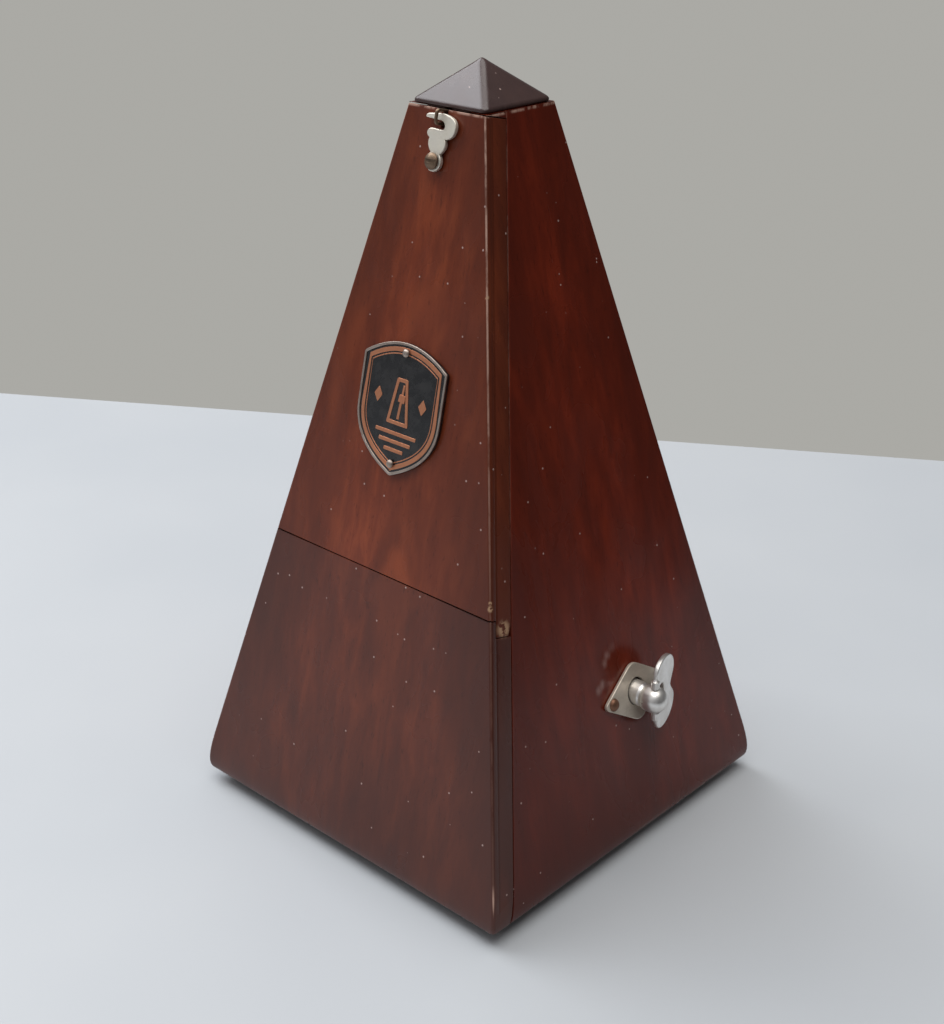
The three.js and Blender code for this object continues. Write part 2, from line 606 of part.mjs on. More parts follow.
// Stepped arbor between the plates, with thinner pivots at both ends.
function trainArbor(radius, fromX, toX, centre, pivots) {
  const [startPivot, endPivot] = pivots;
  const profile = [[0, fromX - startPivot], [0.8, fromX - startPivot], [0.8, fromX], [radius, fromX]];
  profile.push([radius, toX]);
  if (endPivot > 0) profile.push([0.8, toX], [0.8, toX + endPivot]);
  profile.push([0, toX + endPivot]);
  return turned(profile, alongX(0, ...centre), 16);
}

// Crown wheel: a web, a rim and pointed teeth that face the pendulum's arbor.
function crownWheel() {
  const depth = 7.4;
  const start = TOOTH_TIP_X - depth;
  const profile = [[1.4, 0], [10.4, 0], [10.4, depth], [9.3, depth], [9.3, 1], [1.4, 1], [1.4, 0]];
  const cup = turned(profile, alongX(start, ...escapeCentre), 60);
  const notches = [];
  const teeth = 15;
  for (let tooth = 0; tooth < teeth; tooth += 1) {
    const notch = polygon([[0.35, depth + 1], [-1.55, depth + 1], [-1.15, depth - 2.4], [0.35, depth - 3]]);
    const turn = new THREE.Matrix4().makeRotationZ((tooth * 2 * Math.PI) / teeth);
    const face = plane(Y_AXIS, Z_AXIS, new THREE.Vector3(8, 0, 0));
    notches.push(plate(notch, 4, alongX(start, ...escapeCentre).multiply(turn).multiply(face)));
  }
  return without(cup, ...notches);
}

function addTrain() {
  const middleToEscape = bearing(middleCentre, escapeCentre);
  const greatToMiddle = bearing(greatCentre, middleCentre);
  const pinionPhase = greatToMiddle + Math.PI + halfPitch(FIRST_PINION);
  const escapePhase = middleToEscape + Math.PI + halfPitch(ESCAPE_PINION);
  node('great_wheel', greatWheel(), BRASS);
  node('ratchet_wheel', ratchetWheel(), STEEL);
  node('click', click(), STEEL);
  node('click_screw', clickScrew(), STEEL);
  node('click_spring', clickSpring(), BLUE_STEEL);
  node('second_arbor', trainArbor(1.3, -26.2, 23.7, middleCentre, [2, 2]), STEEL);
  node('first_pinion', gear(FIRST_PINION, middleCentre, pinionPhase, 1.6), STEEL);
  node('second_wheel', gear(SECOND_WHEEL, middleCentre, middleToEscape, 1.6), BRASS);
  node('escape_arbor', trainArbor(1.1, -26.2, -4, escapeCentre, [2, 0]), STEEL);
  node('escape_pinion', gear(ESCAPE_PINION, escapeCentre, escapePhase, 1.4), STEEL);
  node('crown_wheel', crownWheel(), BRASS);
}

// ---------------------------------------------------------------- movement frame and spring
const PILLARS = [[-20, 20], [30.5, 20], [-20, 83.4], [30.5, 84]];

function framePlate(x) {
  const outline = polygon([[-24, 14.6], [34.5, 14.6], [34.5, 84], [31, 88], [-20, 88], [-24, 84]]);
  const blank = plate(outline, PLATE_THICKNESS, alongX(x));
  const hole = (radius, centre) => pin(radius, 6, alongX(x - 2, ...centre), 16);
  const windingHole = x > 0 ? ARBOR_RADIUS + 0.35 : 1.75;
  const holes = [hole(windingHole, greatCentre), hole(1.1, middleCentre)];
  if (x < 0) holes.push(hole(1.1, escapeCentre));
  holes.push(...PILLARS.map((centre) => hole(1.6, centre)));
  return without(blank, ...holes);
}

function pillar(centre) {
  const span = RIGHT_PLATE_X - LEFT_PLATE_X - PLATE_THICKNESS - 2 * GAP;
  const profile = [[0, -2], [1.3, -2], [1.3, 0], [2.2, 0], [2.2, 4], [1.7, 5], [1.7, span - 5]];
  profile.push([2.2, span - 4], [2.2, span], [1.3, span], [1.3, span + 2], [0, span + 2]);
  return turned(profile, alongX(LEFT_PLATE_X + PLATE_THICKNESS + GAP, ...centre), 16);
}

// Bridge over the crown wheel, with a leg at each end that carries the pendulum's arbor.
function vergeBracket() {
  const outline = polygon([
    [-26.5, 69], [-25, 69], [-25, 86], [9.5, 86], [9.5, 69], [11, 69], [11, 87.5], [-26.5, 87.5],
  ]);
  const strip = plate(outline, 8, alongX(-4));
  return strip.subtract(pin(1.5, 50, alongY(0, -30, SWING_Z), 16));
}

// Bearing plate for the crown wheel's arbor, on an arm from the left plate.
function escapeCock() {
  const upright = box([-14.5, -8, 66], [-13, 2, 80]);
  const arm = box([-26.2, -8, 66], [-14, -2, 67.5]);
  return upright.add(arm).subtract(pin(1.4, 5, alongX(-16, ...escapeCentre), 16));
}

// Coiled strip around the winding arbor.
function mainspring() {
  const turns = 7;
  const inner = 3;
  const pitch = 2;
  const strip = 0.6;
  const steps = turns * 18;
  const edge = (offset) => {
    const points = [];
    for (let step = 0; step <= steps; step += 1) {
      const angle = (step / steps) * turns * 2 * Math.PI;
      const radius = inner + offset + (pitch * angle) / (2 * Math.PI);
      points.push([radius * Math.cos(angle), radius * Math.sin(angle)]);
    }
    return points;
  };
  return plate(polygon([...edge(0), ...edge(strip).reverse()]), 8.5, alongX(1.5, ...greatCentre));
}

function addMovement() {
  node('left_plate', framePlate(LEFT_PLATE_X), BRASS);
  node('right_plate', framePlate(RIGHT_PLATE_X), BRASS);
  const names = ['front_lower', 'back_lower', 'front_upper', 'back_upper'];
  names.forEach((name, index) => node(`pillar_${name}`, pillar(PILLARS[index]), BRASS));
  node('movement_seat', box([-34, -26, 12.3], [32, 36, 14.3]), STEEL);
  node('verge_bracket', vergeBracket(), BRASS);
  node('escape_cock', escapeCock(), BRASS);
  node('mainspring', mainspring(), BLUE_STEEL);
}

// ---------------------------------------------------------------- pendulum and its scale
// Arbor with two small flags that the crown wheel's teeth push in turn.
function vergeArbor() {
  const lean = 0.66; // lean of each flag towards the teeth, in radians
  const length = 3;
  const front = plane(X_AXIS.clone().negate(), Z_AXIS, new THREE.Vector3(0, -34.8, SWING_Z));
  const flag = (y, turn) => {
    const blade = new THREE.BoxGeometry(0.8, 3.5, length).translate(0, y, length / 2);
    return solid(blade.rotateY(turn).translate(0, 0, SWING_Z));
  };
  const upperFlag = flag(ESCAPE_Y - 9.9, -lean);
  const lowerFlag = flag(ESCAPE_Y + 9.9, Math.PI + lean);
  return pin(1.2, 45.6, front, 16).add(upperFlag).add(lowerFlag);
}

// Upright strip from the bob, past the arbor, bent back to lie parallel to the front face.
function pendulumRod() {
  const leanStart = frontPoint(0, ROD_DEPTH, 0);
  const bendZ = leanStart.z + (ROD_Y - leanStart.y) / Math.tan(TILT);
  const topY = ROD_Y + (ROD_TOP_Z - bendZ) * Math.tan(TILT);
  const half = ROD_THICKNESS / 2;
  const lean = half / Math.cos(TILT);
  const side = polygon([
    [ROD_Y - half, BOB_Z - 14], [ROD_Y + half, BOB_Z - 14], [ROD_Y + lean, bendZ],
    [topY + lean, ROD_TOP_Z], [topY - lean, ROD_TOP_Z], [ROD_Y - lean, bendZ],
  ]);
  const strip = plate(side, ROD_WIDTH, alongX(-ROD_WIDTH / 2));
  const eye = pin(4.5, ROD_THICKNESS, plane(Z_AXIS, X_AXIS, new THREE.Vector3(0, ROD_Y - half, SWING_Z)), 24);
  return strip.add(eye).subtract(pin(1.5, 6, alongY(0, ROD_Y - 3, SWING_Z), 16));
}

function pendulumBob() {
  const profile = [[0, 0], [11, 0], [12.5, 1.5], [12.5, 9.5], [11, 11], [0, 11]];
  const disc = turned(profile, alongY(0, ROD_Y - 5.5, BOB_Z), 32);
  return disc.subtract(box([-1.9, ROD_Y - 0.8, BOB_Z - 20], [1.9, ROD_Y + 0.8, BOB_Z + 20]));
}

function collar(radius, fromY, toY) {
  const length = toY - fromY;
  const profile = [[1.5, 0], [radius, 0], [radius, length], [1.5, length], [1.5, 0]];
  return turned(profile, alongY(0, fromY, SWING_Z), 20);
}

// Trapezoid of brass that slides on the leaning stretch of the rod.
function slidingWeight() {
  const outline = polygon([[-5.5, -11], [5.5, -11], [8, 11], [-8, 11]]);
  const block = plate(outline, 4.6, onFront(0, ROD_DEPTH + 2.3, WEIGHT_UP));
  const slot = solid(new THREE.BoxGeometry(ROD_WIDTH + 0.7, ROD_THICKNESS + 0.7, 40)
    .translate(0, ROD_DEPTH, WEIGHT_UP)
    .applyMatrix4(faceFrame(FRONT)));
  return block.subtract(slot);
}

const SCALE_DEPTH = 9.6;
const SCALE_FOOT = 92;
const SCALE_HEAD = 189;
const SCALE_PINS = [[-30.2, 97], [30.2, 97], [-10.7, 184], [10.7, 184]]; // x, and height up the slope

const scalePinHole = ([x, up]) => pin(0.8, 12, onFront(x, 18, up), 10);

function scalePlate() {
  const sheet = outer.intersect(slab(FRONT, SCALE_DEPTH, SCALE_DEPTH + 0.8, SCALE_FOOT, SCALE_HEAD));
  const margins = [slab(RIGHT, -5, WALL + 0.6), slab(LEFT, -5, WALL + 0.6)];
  return without(sheet, ...margins, ...SCALE_PINS.map(scalePinHole));
}

function scaleRail(turn) {
  const zone = slab(FRONT, SCALE_DEPTH + 0.8 + GAP, SCALE_DEPTH + 6.4, SCALE_FOOT, SCALE_HEAD);
  const strip = zone.intersect(slab(turn, WALL + GAP, WALL + 6.3)).intersect(outer);
  return without(strip, ...SCALE_PINS.map(scalePinHole));
}

function scalePin([x, up]) {
  const profile = [[0, 0], [0.5, 0], [0.5, 5.2], [1.2, 5.2], [1, 5.7], [0, 5.9]];
  return turned(profile, onFront(x, SCALE_DEPTH + 5, up), 12);
}

// Spring clip behind the rod's tip, which holds the rod when it is pushed back.
function pendulumCatch() {
  const outline = polygon([
    [-4.5, 183.5], [-2, 183.5], [-2, 189], [2, 189], [2, 183.5], [4.5, 183.5], [4.5, 200], [-4.5, 200],
  ]);
  return plate(outline, 0.8, onFront(0, FRONT_DEPTH, 0));
}

function addPendulum() {
  node('verge_arbor', vergeArbor(), STEEL);
  node('pendulum_rod', pendulumRod(), STEEL);
  node('pendulum_bob', pendulumBob(), LEAD);
  node('pendulum_collar', collar(4, ROD_Y + 0.8, ROD_Y + 5), BRASS);
  node('pendulum_nut', collar(2.8, ROD_Y - 2.6, ROD_Y - 0.8), BRASS);
  node('sliding_weight', slidingWeight(), BRASS);
  node('scale_plate', scalePlate(), SCALE_METAL);
  node('scale_rail_left', scaleRail(LEFT), BARE_WOOD);
  node('scale_rail_right', scaleRail(RIGHT), BARE_WOOD);
  const names = ['lower_left', 'lower_right', 'upper_left', 'upper_right'];
  names.forEach((name, index) => node(`scale_pin_${name}`, scalePin(SCALE_PINS[index]), BRASS));
  node('pendulum_catch', pendulumCatch(), BRASS);
}

addCase();
addCover();
addKey();
addTrain();
addMovement();
addPendulum();

// The key stands past the case, so the model is moved back to be centred over its origin.
const metronome = new THREE.Group();
metronome.name = 'metronome';
metronome.add(...parts);
metronome.position.x = -(DOME_X + DOME_RADIUS - SKIRT_HALF) / 2;

export default metronome;
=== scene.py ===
"""Looks for a wooden pyramid metronome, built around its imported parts.

Lengths are in millimetres until MM turns them into metres, and in metres inside the materials.
A place on the front face is given by x to the right, depth into the face, and up along its slope
from the case's bottom.
"""

import json
import math

import bmesh
import bpy
from mathutils import Matrix, Vector


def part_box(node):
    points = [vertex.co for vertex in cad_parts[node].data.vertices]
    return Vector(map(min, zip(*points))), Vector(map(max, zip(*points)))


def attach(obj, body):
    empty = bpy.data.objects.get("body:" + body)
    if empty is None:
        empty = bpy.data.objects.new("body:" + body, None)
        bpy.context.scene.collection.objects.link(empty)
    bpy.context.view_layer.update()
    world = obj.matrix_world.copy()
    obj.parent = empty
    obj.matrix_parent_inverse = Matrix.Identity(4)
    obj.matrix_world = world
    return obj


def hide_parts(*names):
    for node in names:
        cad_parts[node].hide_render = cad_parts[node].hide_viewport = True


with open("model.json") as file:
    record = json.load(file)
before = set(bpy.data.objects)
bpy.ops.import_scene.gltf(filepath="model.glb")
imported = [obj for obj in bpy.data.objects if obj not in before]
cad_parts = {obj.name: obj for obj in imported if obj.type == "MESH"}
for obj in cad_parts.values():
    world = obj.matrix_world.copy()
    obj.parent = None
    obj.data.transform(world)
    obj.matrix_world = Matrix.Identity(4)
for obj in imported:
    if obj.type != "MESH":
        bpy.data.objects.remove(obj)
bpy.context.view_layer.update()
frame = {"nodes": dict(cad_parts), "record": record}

# ---------------------------------------------------------------- sizes
MM = 0.001
# Middle of the case: the key's reach moves it off the origin.
AXIS_X = (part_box("left_side_panel")[0][0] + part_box("right_side_panel")[1][0]) / 2 / MM
BASE_HALF, TOP_HALF = 60.25, 13.8  # half widths of the case at its bottom and top
CASE_BOTTOM, CASE_TOP = 6.0, 208.4
SKIRT_EDGE = 3.8  # lower edge of the boards, below the base board
TAPER = (BASE_HALF - TOP_HALF) / (CASE_TOP - CASE_BOTTOM)
TILT = math.atan(TAPER)
SIN, COS = math.sin(TILT), math.cos(TILT)
SEAM = 81.2  # along the slope, from the bottom to the cover's lower edge
CAP_FOOT = 208.45
FOOT_SPREAD = 42
KEY_Y, KEY_Z, KEY_ROLL = 9.0, 46.0, math.radians(4)
KEY_UP = (KEY_Z - CASE_BOTTOM) / COS
DOME_X = 59.0  # middle of the key's ball end
WING_FOLD = math.radians(15)
LATCH_X, LATCH_UP = -0.2, 193.95
STAPLE_X, STAPLE_UP, STAPLE_SPREAD = 0.15, 205.4, 1.7
BADGE_X, BADGE_UP = 0.1, 127.4
SCALE_DEPTH = 9.6


def metres(x, y, z):
    """A point of the model, with x from the case's middle, in the row's frame."""
    return Vector(((x + AXIS_X) * MM, y * MM, z * MM))


def front_point(x, depth, up):
    """A point by its place on the front face and its depth behind it."""
    y = -BASE_HALF + up * SIN + depth * COS
    return metres(x, y, CASE_BOTTOM + up * COS - depth * SIN)


def axes(right, up, origin):
    """Matrix that takes flat shapes in millimetres, drawn in x and y, to a plane in metres."""
    right, up = Vector(right).normalized(), Vector(up).normalized()
    out = right.cross(up)
    turn = Matrix((right, up, out)).transposed().to_4x4()
    return Matrix.Translation(origin) @ turn @ Matrix.Scale(MM, 4)


def on_front(x, depth, up):
    """Frame for flat shapes that lie on the front face."""
    return axes((1, 0, 0), (0, SIN, COS), front_point(x, depth, up))


def on_right(y, depth, up):
    """Frame for flat shapes that lie on the right face."""
    x = BASE_HALF - up * SIN - depth * COS
    return axes((0, 1, 0), (-SIN, 0, COS), metres(x, y, CASE_BOTTOM + up * COS - depth * SIN))


def key_frame():
    """Frame of the key's head: its z along the key, away from the case."""
    right = (0, math.cos(KEY_ROLL), math.sin(KEY_ROLL))
    up = (0, -math.sin(KEY_ROLL), math.cos(KEY_ROLL))
    return axes(right, up, metres(DOME_X, KEY_Y, KEY_Z))


# ---------------------------------------------------------------- materials
class Look:
    """A procedural material and the few node recipes that it is made of."""

    def __init__(self, name):
        self.material = bpy.data.materials.new(name)
        self.material.use_nodes = True
        self.tree = self.material.node_tree
        self.shader = self.tree.nodes["Principled BSDF"]
        self.place = self.tree.nodes.new("ShaderNodeTexCoord").outputs["Object"]

    def node(self, kind, **settings):
        made = self.tree.nodes.new(kind)
        for key, value in settings.items():
            setattr(made, key, value)
        return made

    def plug(self, value, socket):
        """Links a socket to another, or sets it to a constant."""
        if isinstance(value, bpy.types.NodeSocket):
            self.tree.links.new(value, socket)
        else:
            socket.default_value = value

    def scaled(self, scale, turn=(0, 0, 0)):
        made = self.node("ShaderNodeMapping")
        made.inputs["Scale"].default_value = scale
        made.inputs["Rotation"].default_value = turn
        self.plug(self.place, made.inputs["Vector"])
        return made.outputs["Vector"]

    def noise(self, vector, scale, detail=3.0, rough=0.55, twist=0.0):
        made = self.node("ShaderNodeTexNoise")
        self.plug(vector, made.inputs["Vector"])
        made.inputs["Scale"].default_value = scale
        made.inputs["Detail"].default_value = detail
        made.inputs["Roughness"].default_value = rough
        made.inputs["Distortion"].default_value = twist
        return made.outputs["Fac"]

    def specks(self, scale):
        """Scattered points: distance to the nearest one, and its own random value."""
        made = self.node("ShaderNodeTexVoronoi")
        self.plug(self.place, made.inputs["Vector"])
        made.inputs["Scale"].default_value = scale
        return made.outputs["Distance"], made.outputs["Color"]

    def math(self, operation, first, second=0.0, third=0.0, clamp=False):
        made = self.node("ShaderNodeMath", operation=operation, use_clamp=clamp)
        for value, socket in zip((first, second, third), made.inputs):
            self.plug(value, socket)
        return made.outputs[0]

    def times(self, first, second, clamp=False):
        return self.math("MULTIPLY", first, second, clamp=clamp)

    def most(self, first, second, clamp=False):
        return self.math("MAXIMUM", first, second, clamp=clamp)

    def plus(self, first, second, clamp=False):
        return self.math("ADD", first, second, clamp=clamp)

    def ease(self, value, low, high, to_low=0.0, to_high=1.0):
        """Smooth step of value from low to high."""
        made = self.node("ShaderNodeMapRange", interpolation_type="SMOOTHSTEP")
        for socket, number in zip(made.inputs, (value, low, high, to_low, to_high)):
            self.plug(number, socket)
        return made.outputs[0]

    def ramp(self, factor, stops):
        made = self.node("ShaderNodeValToRGB")
        self.plug(factor, made.inputs[0])
        bands = made.color_ramp.elements
        while len(bands) < len(stops):
            bands.new(0.5)
        for band, (place, color) in zip(bands, stops):
            band.position = place
            band.color = (*color, 1)
        return made.outputs[0]

    def mix(self, factor, first, second, blend="MIX"):
        made = self.node("ShaderNodeMix", data_type="RGBA", blend_type=blend)
        self.plug(factor, made.inputs[0])
        for value, socket in ((first, made.inputs[6]), (second, made.inputs[7])):
            self.plug(value if isinstance(value, bpy.types.NodeSocket) else (*value, 1), socket)
        return made.outputs[2]

    def bump(self, height, strength, distance):
        made = self.node("ShaderNodeBump")
        made.inputs["Strength"].default_value = strength
        made.inputs["Distance"].default_value = distance
        self.plug(height, made.inputs["Height"])
        self.plug(made.outputs[0], self.shader.inputs["Normal"])

    def set(self, **values):
        names = {
            "color": "Base Color",
            "metallic": "Metallic",
            "roughness": "Roughness",
            "coat": "Coat Weight",
            "coat_roughness": "Coat Roughness",
            "specular": "Specular IOR Level",
        }
        for key, value in values.items():
            if key == "color" and not isinstance(value, bpy.types.NodeSocket):
                value = (*value, 1)
            self.plug(value, self.shader.inputs[names[key]])


def case_distances(look):
    """Distances in metres from the sides, from the front or back, from the front; and height."""
    split = look.node("ShaderNodeSeparateXYZ")
    look.plug(look.place, split.inputs[0])
    x, y, z = split.outputs
    half = look.math("MULTIPLY_ADD", z, -TAPER, (BASE_HALF + CASE_BOTTOM * TAPER) * MM)
    off_axis = look.math("ABSOLUTE", look.math("SUBTRACT", x, AXIS_X * MM))
    from_side = look.math("SUBTRACT", half, off_axis)
    from_face = look.math("SUBTRACT", half, look.math("ABSOLUTE", y))
    from_front = look.plus(half, y)
    return from_side, from_face, from_front, z


def near(look, point, radius):
    """1 at a point, fading to 0 at a radius in metres."""
    away = look.node("ShaderNodeVectorMath", operation="DISTANCE")
    look.plug(look.place, away.inputs[0])
    away.inputs[1].default_value = point
    return look.ease(away.outputs["Value"], 0.0, radius, 1.0, 0.0)


# Darker and lighter lines on the side strip: place as a share of STRIP_DEPTH, in metres, behind the
# front face, and strength.
STRIP_DEPTH = 0.0125
STRIP_TINTS = [
    (0.1, 0.5), (0.15, 0.36), (0.18, 0.5), (0.21, 0.3), (0.25, 0.62), (0.42, 0.5),
    (0.56, 0.42), (0.61, 0.4), (0.65, 0.72), (0.68, 0.7), (0.72, 0.5),
]
CORNER_KNOCK = front_point(BASE_HALF - 8.5 * SIN, 0, 8.5)
STRIP_CHIP = front_point(41.6, 5.0, 78.6)
# Place up the front slope in mm, and radius in metres.
CORNER_DENTS = ((84.5, 0.0012), (86.0, 0.0008), (163.0, 0.0009))
# Places in mm, from the case's middle.
RUBS_BY_KEY = (
    (47.6, 2.6, 61.2), (48.0, 0.4, 59.8), (48.4, -1.4, 57.9), (49.6, -3.2, 52.6), (49.8, -5.2, 51.6),
)
BARE_WOOD, CHIPPED_WOOD = (0.56, 0.36, 0.28), (0.46, 0.29, 0.17)
RUBBED_LACQUER, SPECK_COLOR = (0.4, 0.27, 0.24), (0.5, 0.36, 0.32)
INSIDE_WOOD = [(0.3, (0.1, 0.045, 0.025)), (0.7, (0.2, 0.1, 0.055))]


def stained(look, distances, color, dark):
    """Darker and lighter lines along the strip's groove and seam, and darker at the foot and the
    margins.
    """
    from_side, from_face, from_front, height = distances
    strip = look.times(from_front, 1 / STRIP_DEPTH, clamp=True)
    tint = look.ramp(strip, [(place, (t, t, t)) for place, t in STRIP_TINTS])
    tint = look.mix(look.ease(from_side, 0.0, 0.0015, 1.0, 0.0), (0.5, 0.5, 0.5), tint)
    color = look.mix(1.0, color, look.times(tint, 2.0), "MULTIPLY")
    margin = look.ease(look.most(from_side, from_face), 0.0, 0.03, 0.8, 0.0)
    low = look.ease(height, 0.005, 0.055, 0.8, 0.0)
    patchy = look.ease(look.noise(look.scaled((1, 1, 0.5)), 22, 2, 0.5), 0.3, 0.7, 0.5, 1.0)
    return look.mix(look.times(look.most(margin, low), patchy), color, [c * 0.72 for c in dark])


def worn_edges(look, distances, rub, below_cap):
    """Where the lacquer is rubbed through: corners, lower edge, upper rim and beside the strip."""
    from_side, from_face, from_front, height = distances
    edge = look.ease(look.most(from_side, from_face), 0.00032, 0.0006, 1.0, 0.0)
    worn = look.times(edge, look.ease(rub, 0.34, 0.56, 0.2, 1.0))
    worn = look.times(worn, look.ease(height, 0.07, 0.19, 0.12, 1.0))
    worn = look.most(worn, look.times(edge, near(look, CORNER_KNOCK, 0.006)))

    foot = look.ease(height, SKIRT_EDGE * MM, (SKIRT_EDGE + 1.6) * MM, 1.0, 0.0)
    worn = look.most(worn, look.times(foot, look.ease(rub, 0.5, 0.8, 0, 0.3)))

    rim = look.ease(height, (CASE_TOP - 1.0) * MM, (CASE_TOP - 0.4) * MM)
    rim = look.times(below_cap, rim)
    outer = look.ease(look.math("MINIMUM", from_side, from_face), 0.0008, 0.0014, 1.0, 0.0)
    rim = look.times(rim, outer)
    worn = look.most(worn, look.times(rim, look.ease(rub, 0.4, 0.6, 0, 0.8)))

    beside = look.math("ABSOLUTE", look.math("SUBTRACT", from_front, 0.0081))
    beside = look.ease(beside, 0.0, 0.0003, 1.0, 0.0)
    beside = look.times(beside, look.ease(from_side, 0.0003, 0.0006, 1.0, 0.0))
    beside = look.times(beside, look.ease(height, 0.07, 0.14, 0.12, 0.7))
    return look.most(worn, look.times(beside, look.ease(rub, 0.4, 0.6, 0.3, 1.0)))


def chips(look):
    """A chip on the side strip, where the tongue meets the seam, and dents on the corner."""
    chip = look.times(near(look, STRIP_CHIP, 0.0034), 2.5, clamp=True)
    chip = look.times(chip, look.ease(look.noise(look.place, 620, 3), 0.44, 0.52))
    for up, size in CORNER_DENTS:
        half = BASE_HALF - up * SIN
        dent = near(look, front_point(half - 0.1, 0.1, up), size)
        ragged = look.ease(look.noise(look.place, 1500, 2), 0.42, 0.52, 0, 2)
        chip = look.most(chip, look.times(dent, ragged), clamp=True)
    return chip


def lacquered_wood(
    name, dark, middle, light, flame, roughness, shine=0.4, ripple=0.3, wear=0.85
):
    """Stained and lacquered mahogany with its wear; raw wood inside the case."""
    look = Look(name)
    pores = look.noise(look.scaled((1, 1, 0.03)), 1500, 2, 0.6)
    bands = look.noise(look.scaled((1, 1, 0.045)), 210, 4, 0.6, 0.3)
    tone = look.noise(look.scaled((1, 1, 0.14)), 30, 3, 0.5, 0.3)
    figure = look.noise(look.scaled((1, 1, 0.16)), 62, 2, 0.5, 0.9)
    color = look.ramp(bands, [(0.22, dark), (0.5, middle), (0.84, light)])
    color = look.mix(look.ease(tone, 0.35, 0.68, 0.0, 0.5), color, dark)
    color = look.mix(look.ease(figure, 0.58, 0.8, 0.0, flame), color, light)
    color = look.mix(look.ease(pores, 0.6, 0.74, 0.0, 0.45), color, [c * 0.35 for c in dark])
    distances = case_distances(look)
    color = stained(look, distances, color, dark)

    from_side, from_face, _, height = distances
    below_cap = look.ease(height, (CASE_TOP - 0.1) * MM, CASE_TOP * MM, 1.0, 0.0)
    rub = look.noise(look.scaled((1, 1, 0.3)), 260, 4, 0.7)
    worn = worn_edges(look, distances, rub, below_cap)
    color = look.mix(look.times(worn, wear), color, BARE_WOOD)
    color = look.mix(look.times(chips(look), 0.8), color, CHIPPED_WOOD)
    for place in RUBS_BY_KEY:
        rubbed = look.times(near(look, metres(*place), 0.0021), look.ease(rub, 0.4, 0.6, 0.1, 0.45))
        color = look.mix(rubbed, color, RUBBED_LACQUER)

    # Pale specks of dust and old dents, on a quarter of the scattered points.
    distance, pick = look.specks(380)
    speck = look.ease(distance, 0.08, 0.13, 1.0, 0.0)
    speck = look.times(speck, look.ease(pick, 0.76, 0.78))
    color = look.mix(look.times(speck, 0.75), color, SPECK_COLOR)

    # Inner faces are only stained; the cap has none.
    inside = look.ease(look.math("MINIMUM", from_side, from_face), 0.0022, 0.0026)
    inside = look.times(inside, below_cap)
    color = look.mix(inside, color, look.ramp(bands, INSIDE_WOOD))

    smear = look.noise(look.scaled((1, 1, 0.5)), 45, 3, 0.6, 0.6)
    rough = look.ease(smear, 0.3, 0.72, roughness, roughness + 0.14)
    rough = look.plus(rough, look.times(worn, 0.2))
    rough = look.plus(rough, look.times(inside, 0.35), clamp=True)
    look.set(color=color, roughness=rough, specular=shine)
    if ripple:
        waves = look.noise(look.scaled((1, 1, 0.25)), 60, 2, 0.5)
        relief = look.math("MULTIPLY_ADD", pores, 0.1, look.times(waves, ripple))
        look.bump(look.math("MULTIPLY_ADD", speck, 0.35, relief), 0.2, 0.0006)
    return look.material


def plain_wood(name, dark, light, roughness):
    look = Look(name)
    bands = look.noise(look.scaled((1, 0.06, 1)), 240, 4, 0.6, 0.3)
    pores = look.noise(look.scaled((1, 0.05, 1)), 1300, 2, 0.6)
    color = look.ramp(bands, [(0.3, dark), (0.72, light)])
    color = look.mix(look.ease(pores, 0.58, 0.75, 0.0, 0.5), color, [c * 0.4 for c in dark])
    look.set(color=color, roughness=look.ease(bands, 0.3, 0.7, roughness, roughness + 0.15))
    look.bump(pores, 0.3, 0.0003)
    return look.material


def metal(name, color, shade, roughness, brush=(1, 1, 1), tarnish=0.4, purity=1.0):
    """Metal with fine rub marks along one direction, and duller patches."""
    look = Look(name)
    marks = look.noise(look.scaled(brush), 900, 3, 0.65)
    cloud = look.noise(look.place, 230, 4, 0.6, 0.4)
    fleck = look.noise(look.place, 900, 2, 0.6)
    tinted = look.mix(look.ease(cloud, 0.35, 0.7, 0.0, tarnish), color, shade)
    tinted = look.mix(look.ease(marks, 0.5, 0.8, 0.0, 0.3), tinted, shade)
    tinted = look.mix(look.ease(fleck, 0.68, 0.8, 0.0, 0.6 * tarnish), tinted, (0.1, 0.07, 0.05))
    rough = look.ease(cloud, 0.3, 0.75, roughness, roughness + 0.16)
    rough = look.plus(rough, look.ease(marks, 0.45, 0.8, 0.0, 0.1))
    look.set(color=tinted, metallic=purity, roughness=rough)
    look.bump(marks, 0.12, 0.00008)
    return look.material


def enamel(name):
    look = Look(name)
    cloud = look.noise(look.place, 300, 4, 0.6)
    fine = look.noise(look.place, 2600, 2, 0.6)
    black, grey = (0.006, 0.006, 0.007), (0.02, 0.018, 0.018)
    color = look.mix(look.ease(cloud, 0.4, 0.75, 0.0, 0.7), black, grey)
    color = look.mix(look.ease(fine, 0.68, 0.78, 0.0, 0.25), color, (0.12, 0.1, 0.09))
    rough = look.ease(cloud, 0.3, 0.7, 0.18, 0.34)
    look.set(color=color, roughness=rough, coat=0.4, coat_roughness=0.12)
    look.bump(cloud, 0.15, 0.0002)
    return look.material


def painted(name, color, shade, roughness):
    look = Look(name)
    cloud = look.noise(look.place, 180, 4, 0.6)
    fine = look.noise(look.place, 1800, 2, 0.6)
    tinted = look.mix(look.ease(cloud, 0.35, 0.7, 0.0, 0.6), color, shade)
    look.set(color=tinted, roughness=look.ease(fine, 0.3, 0.7, roughness, roughness + 0.12))
    look.bump(fine, 0.12, 0.0001)
    return look.material


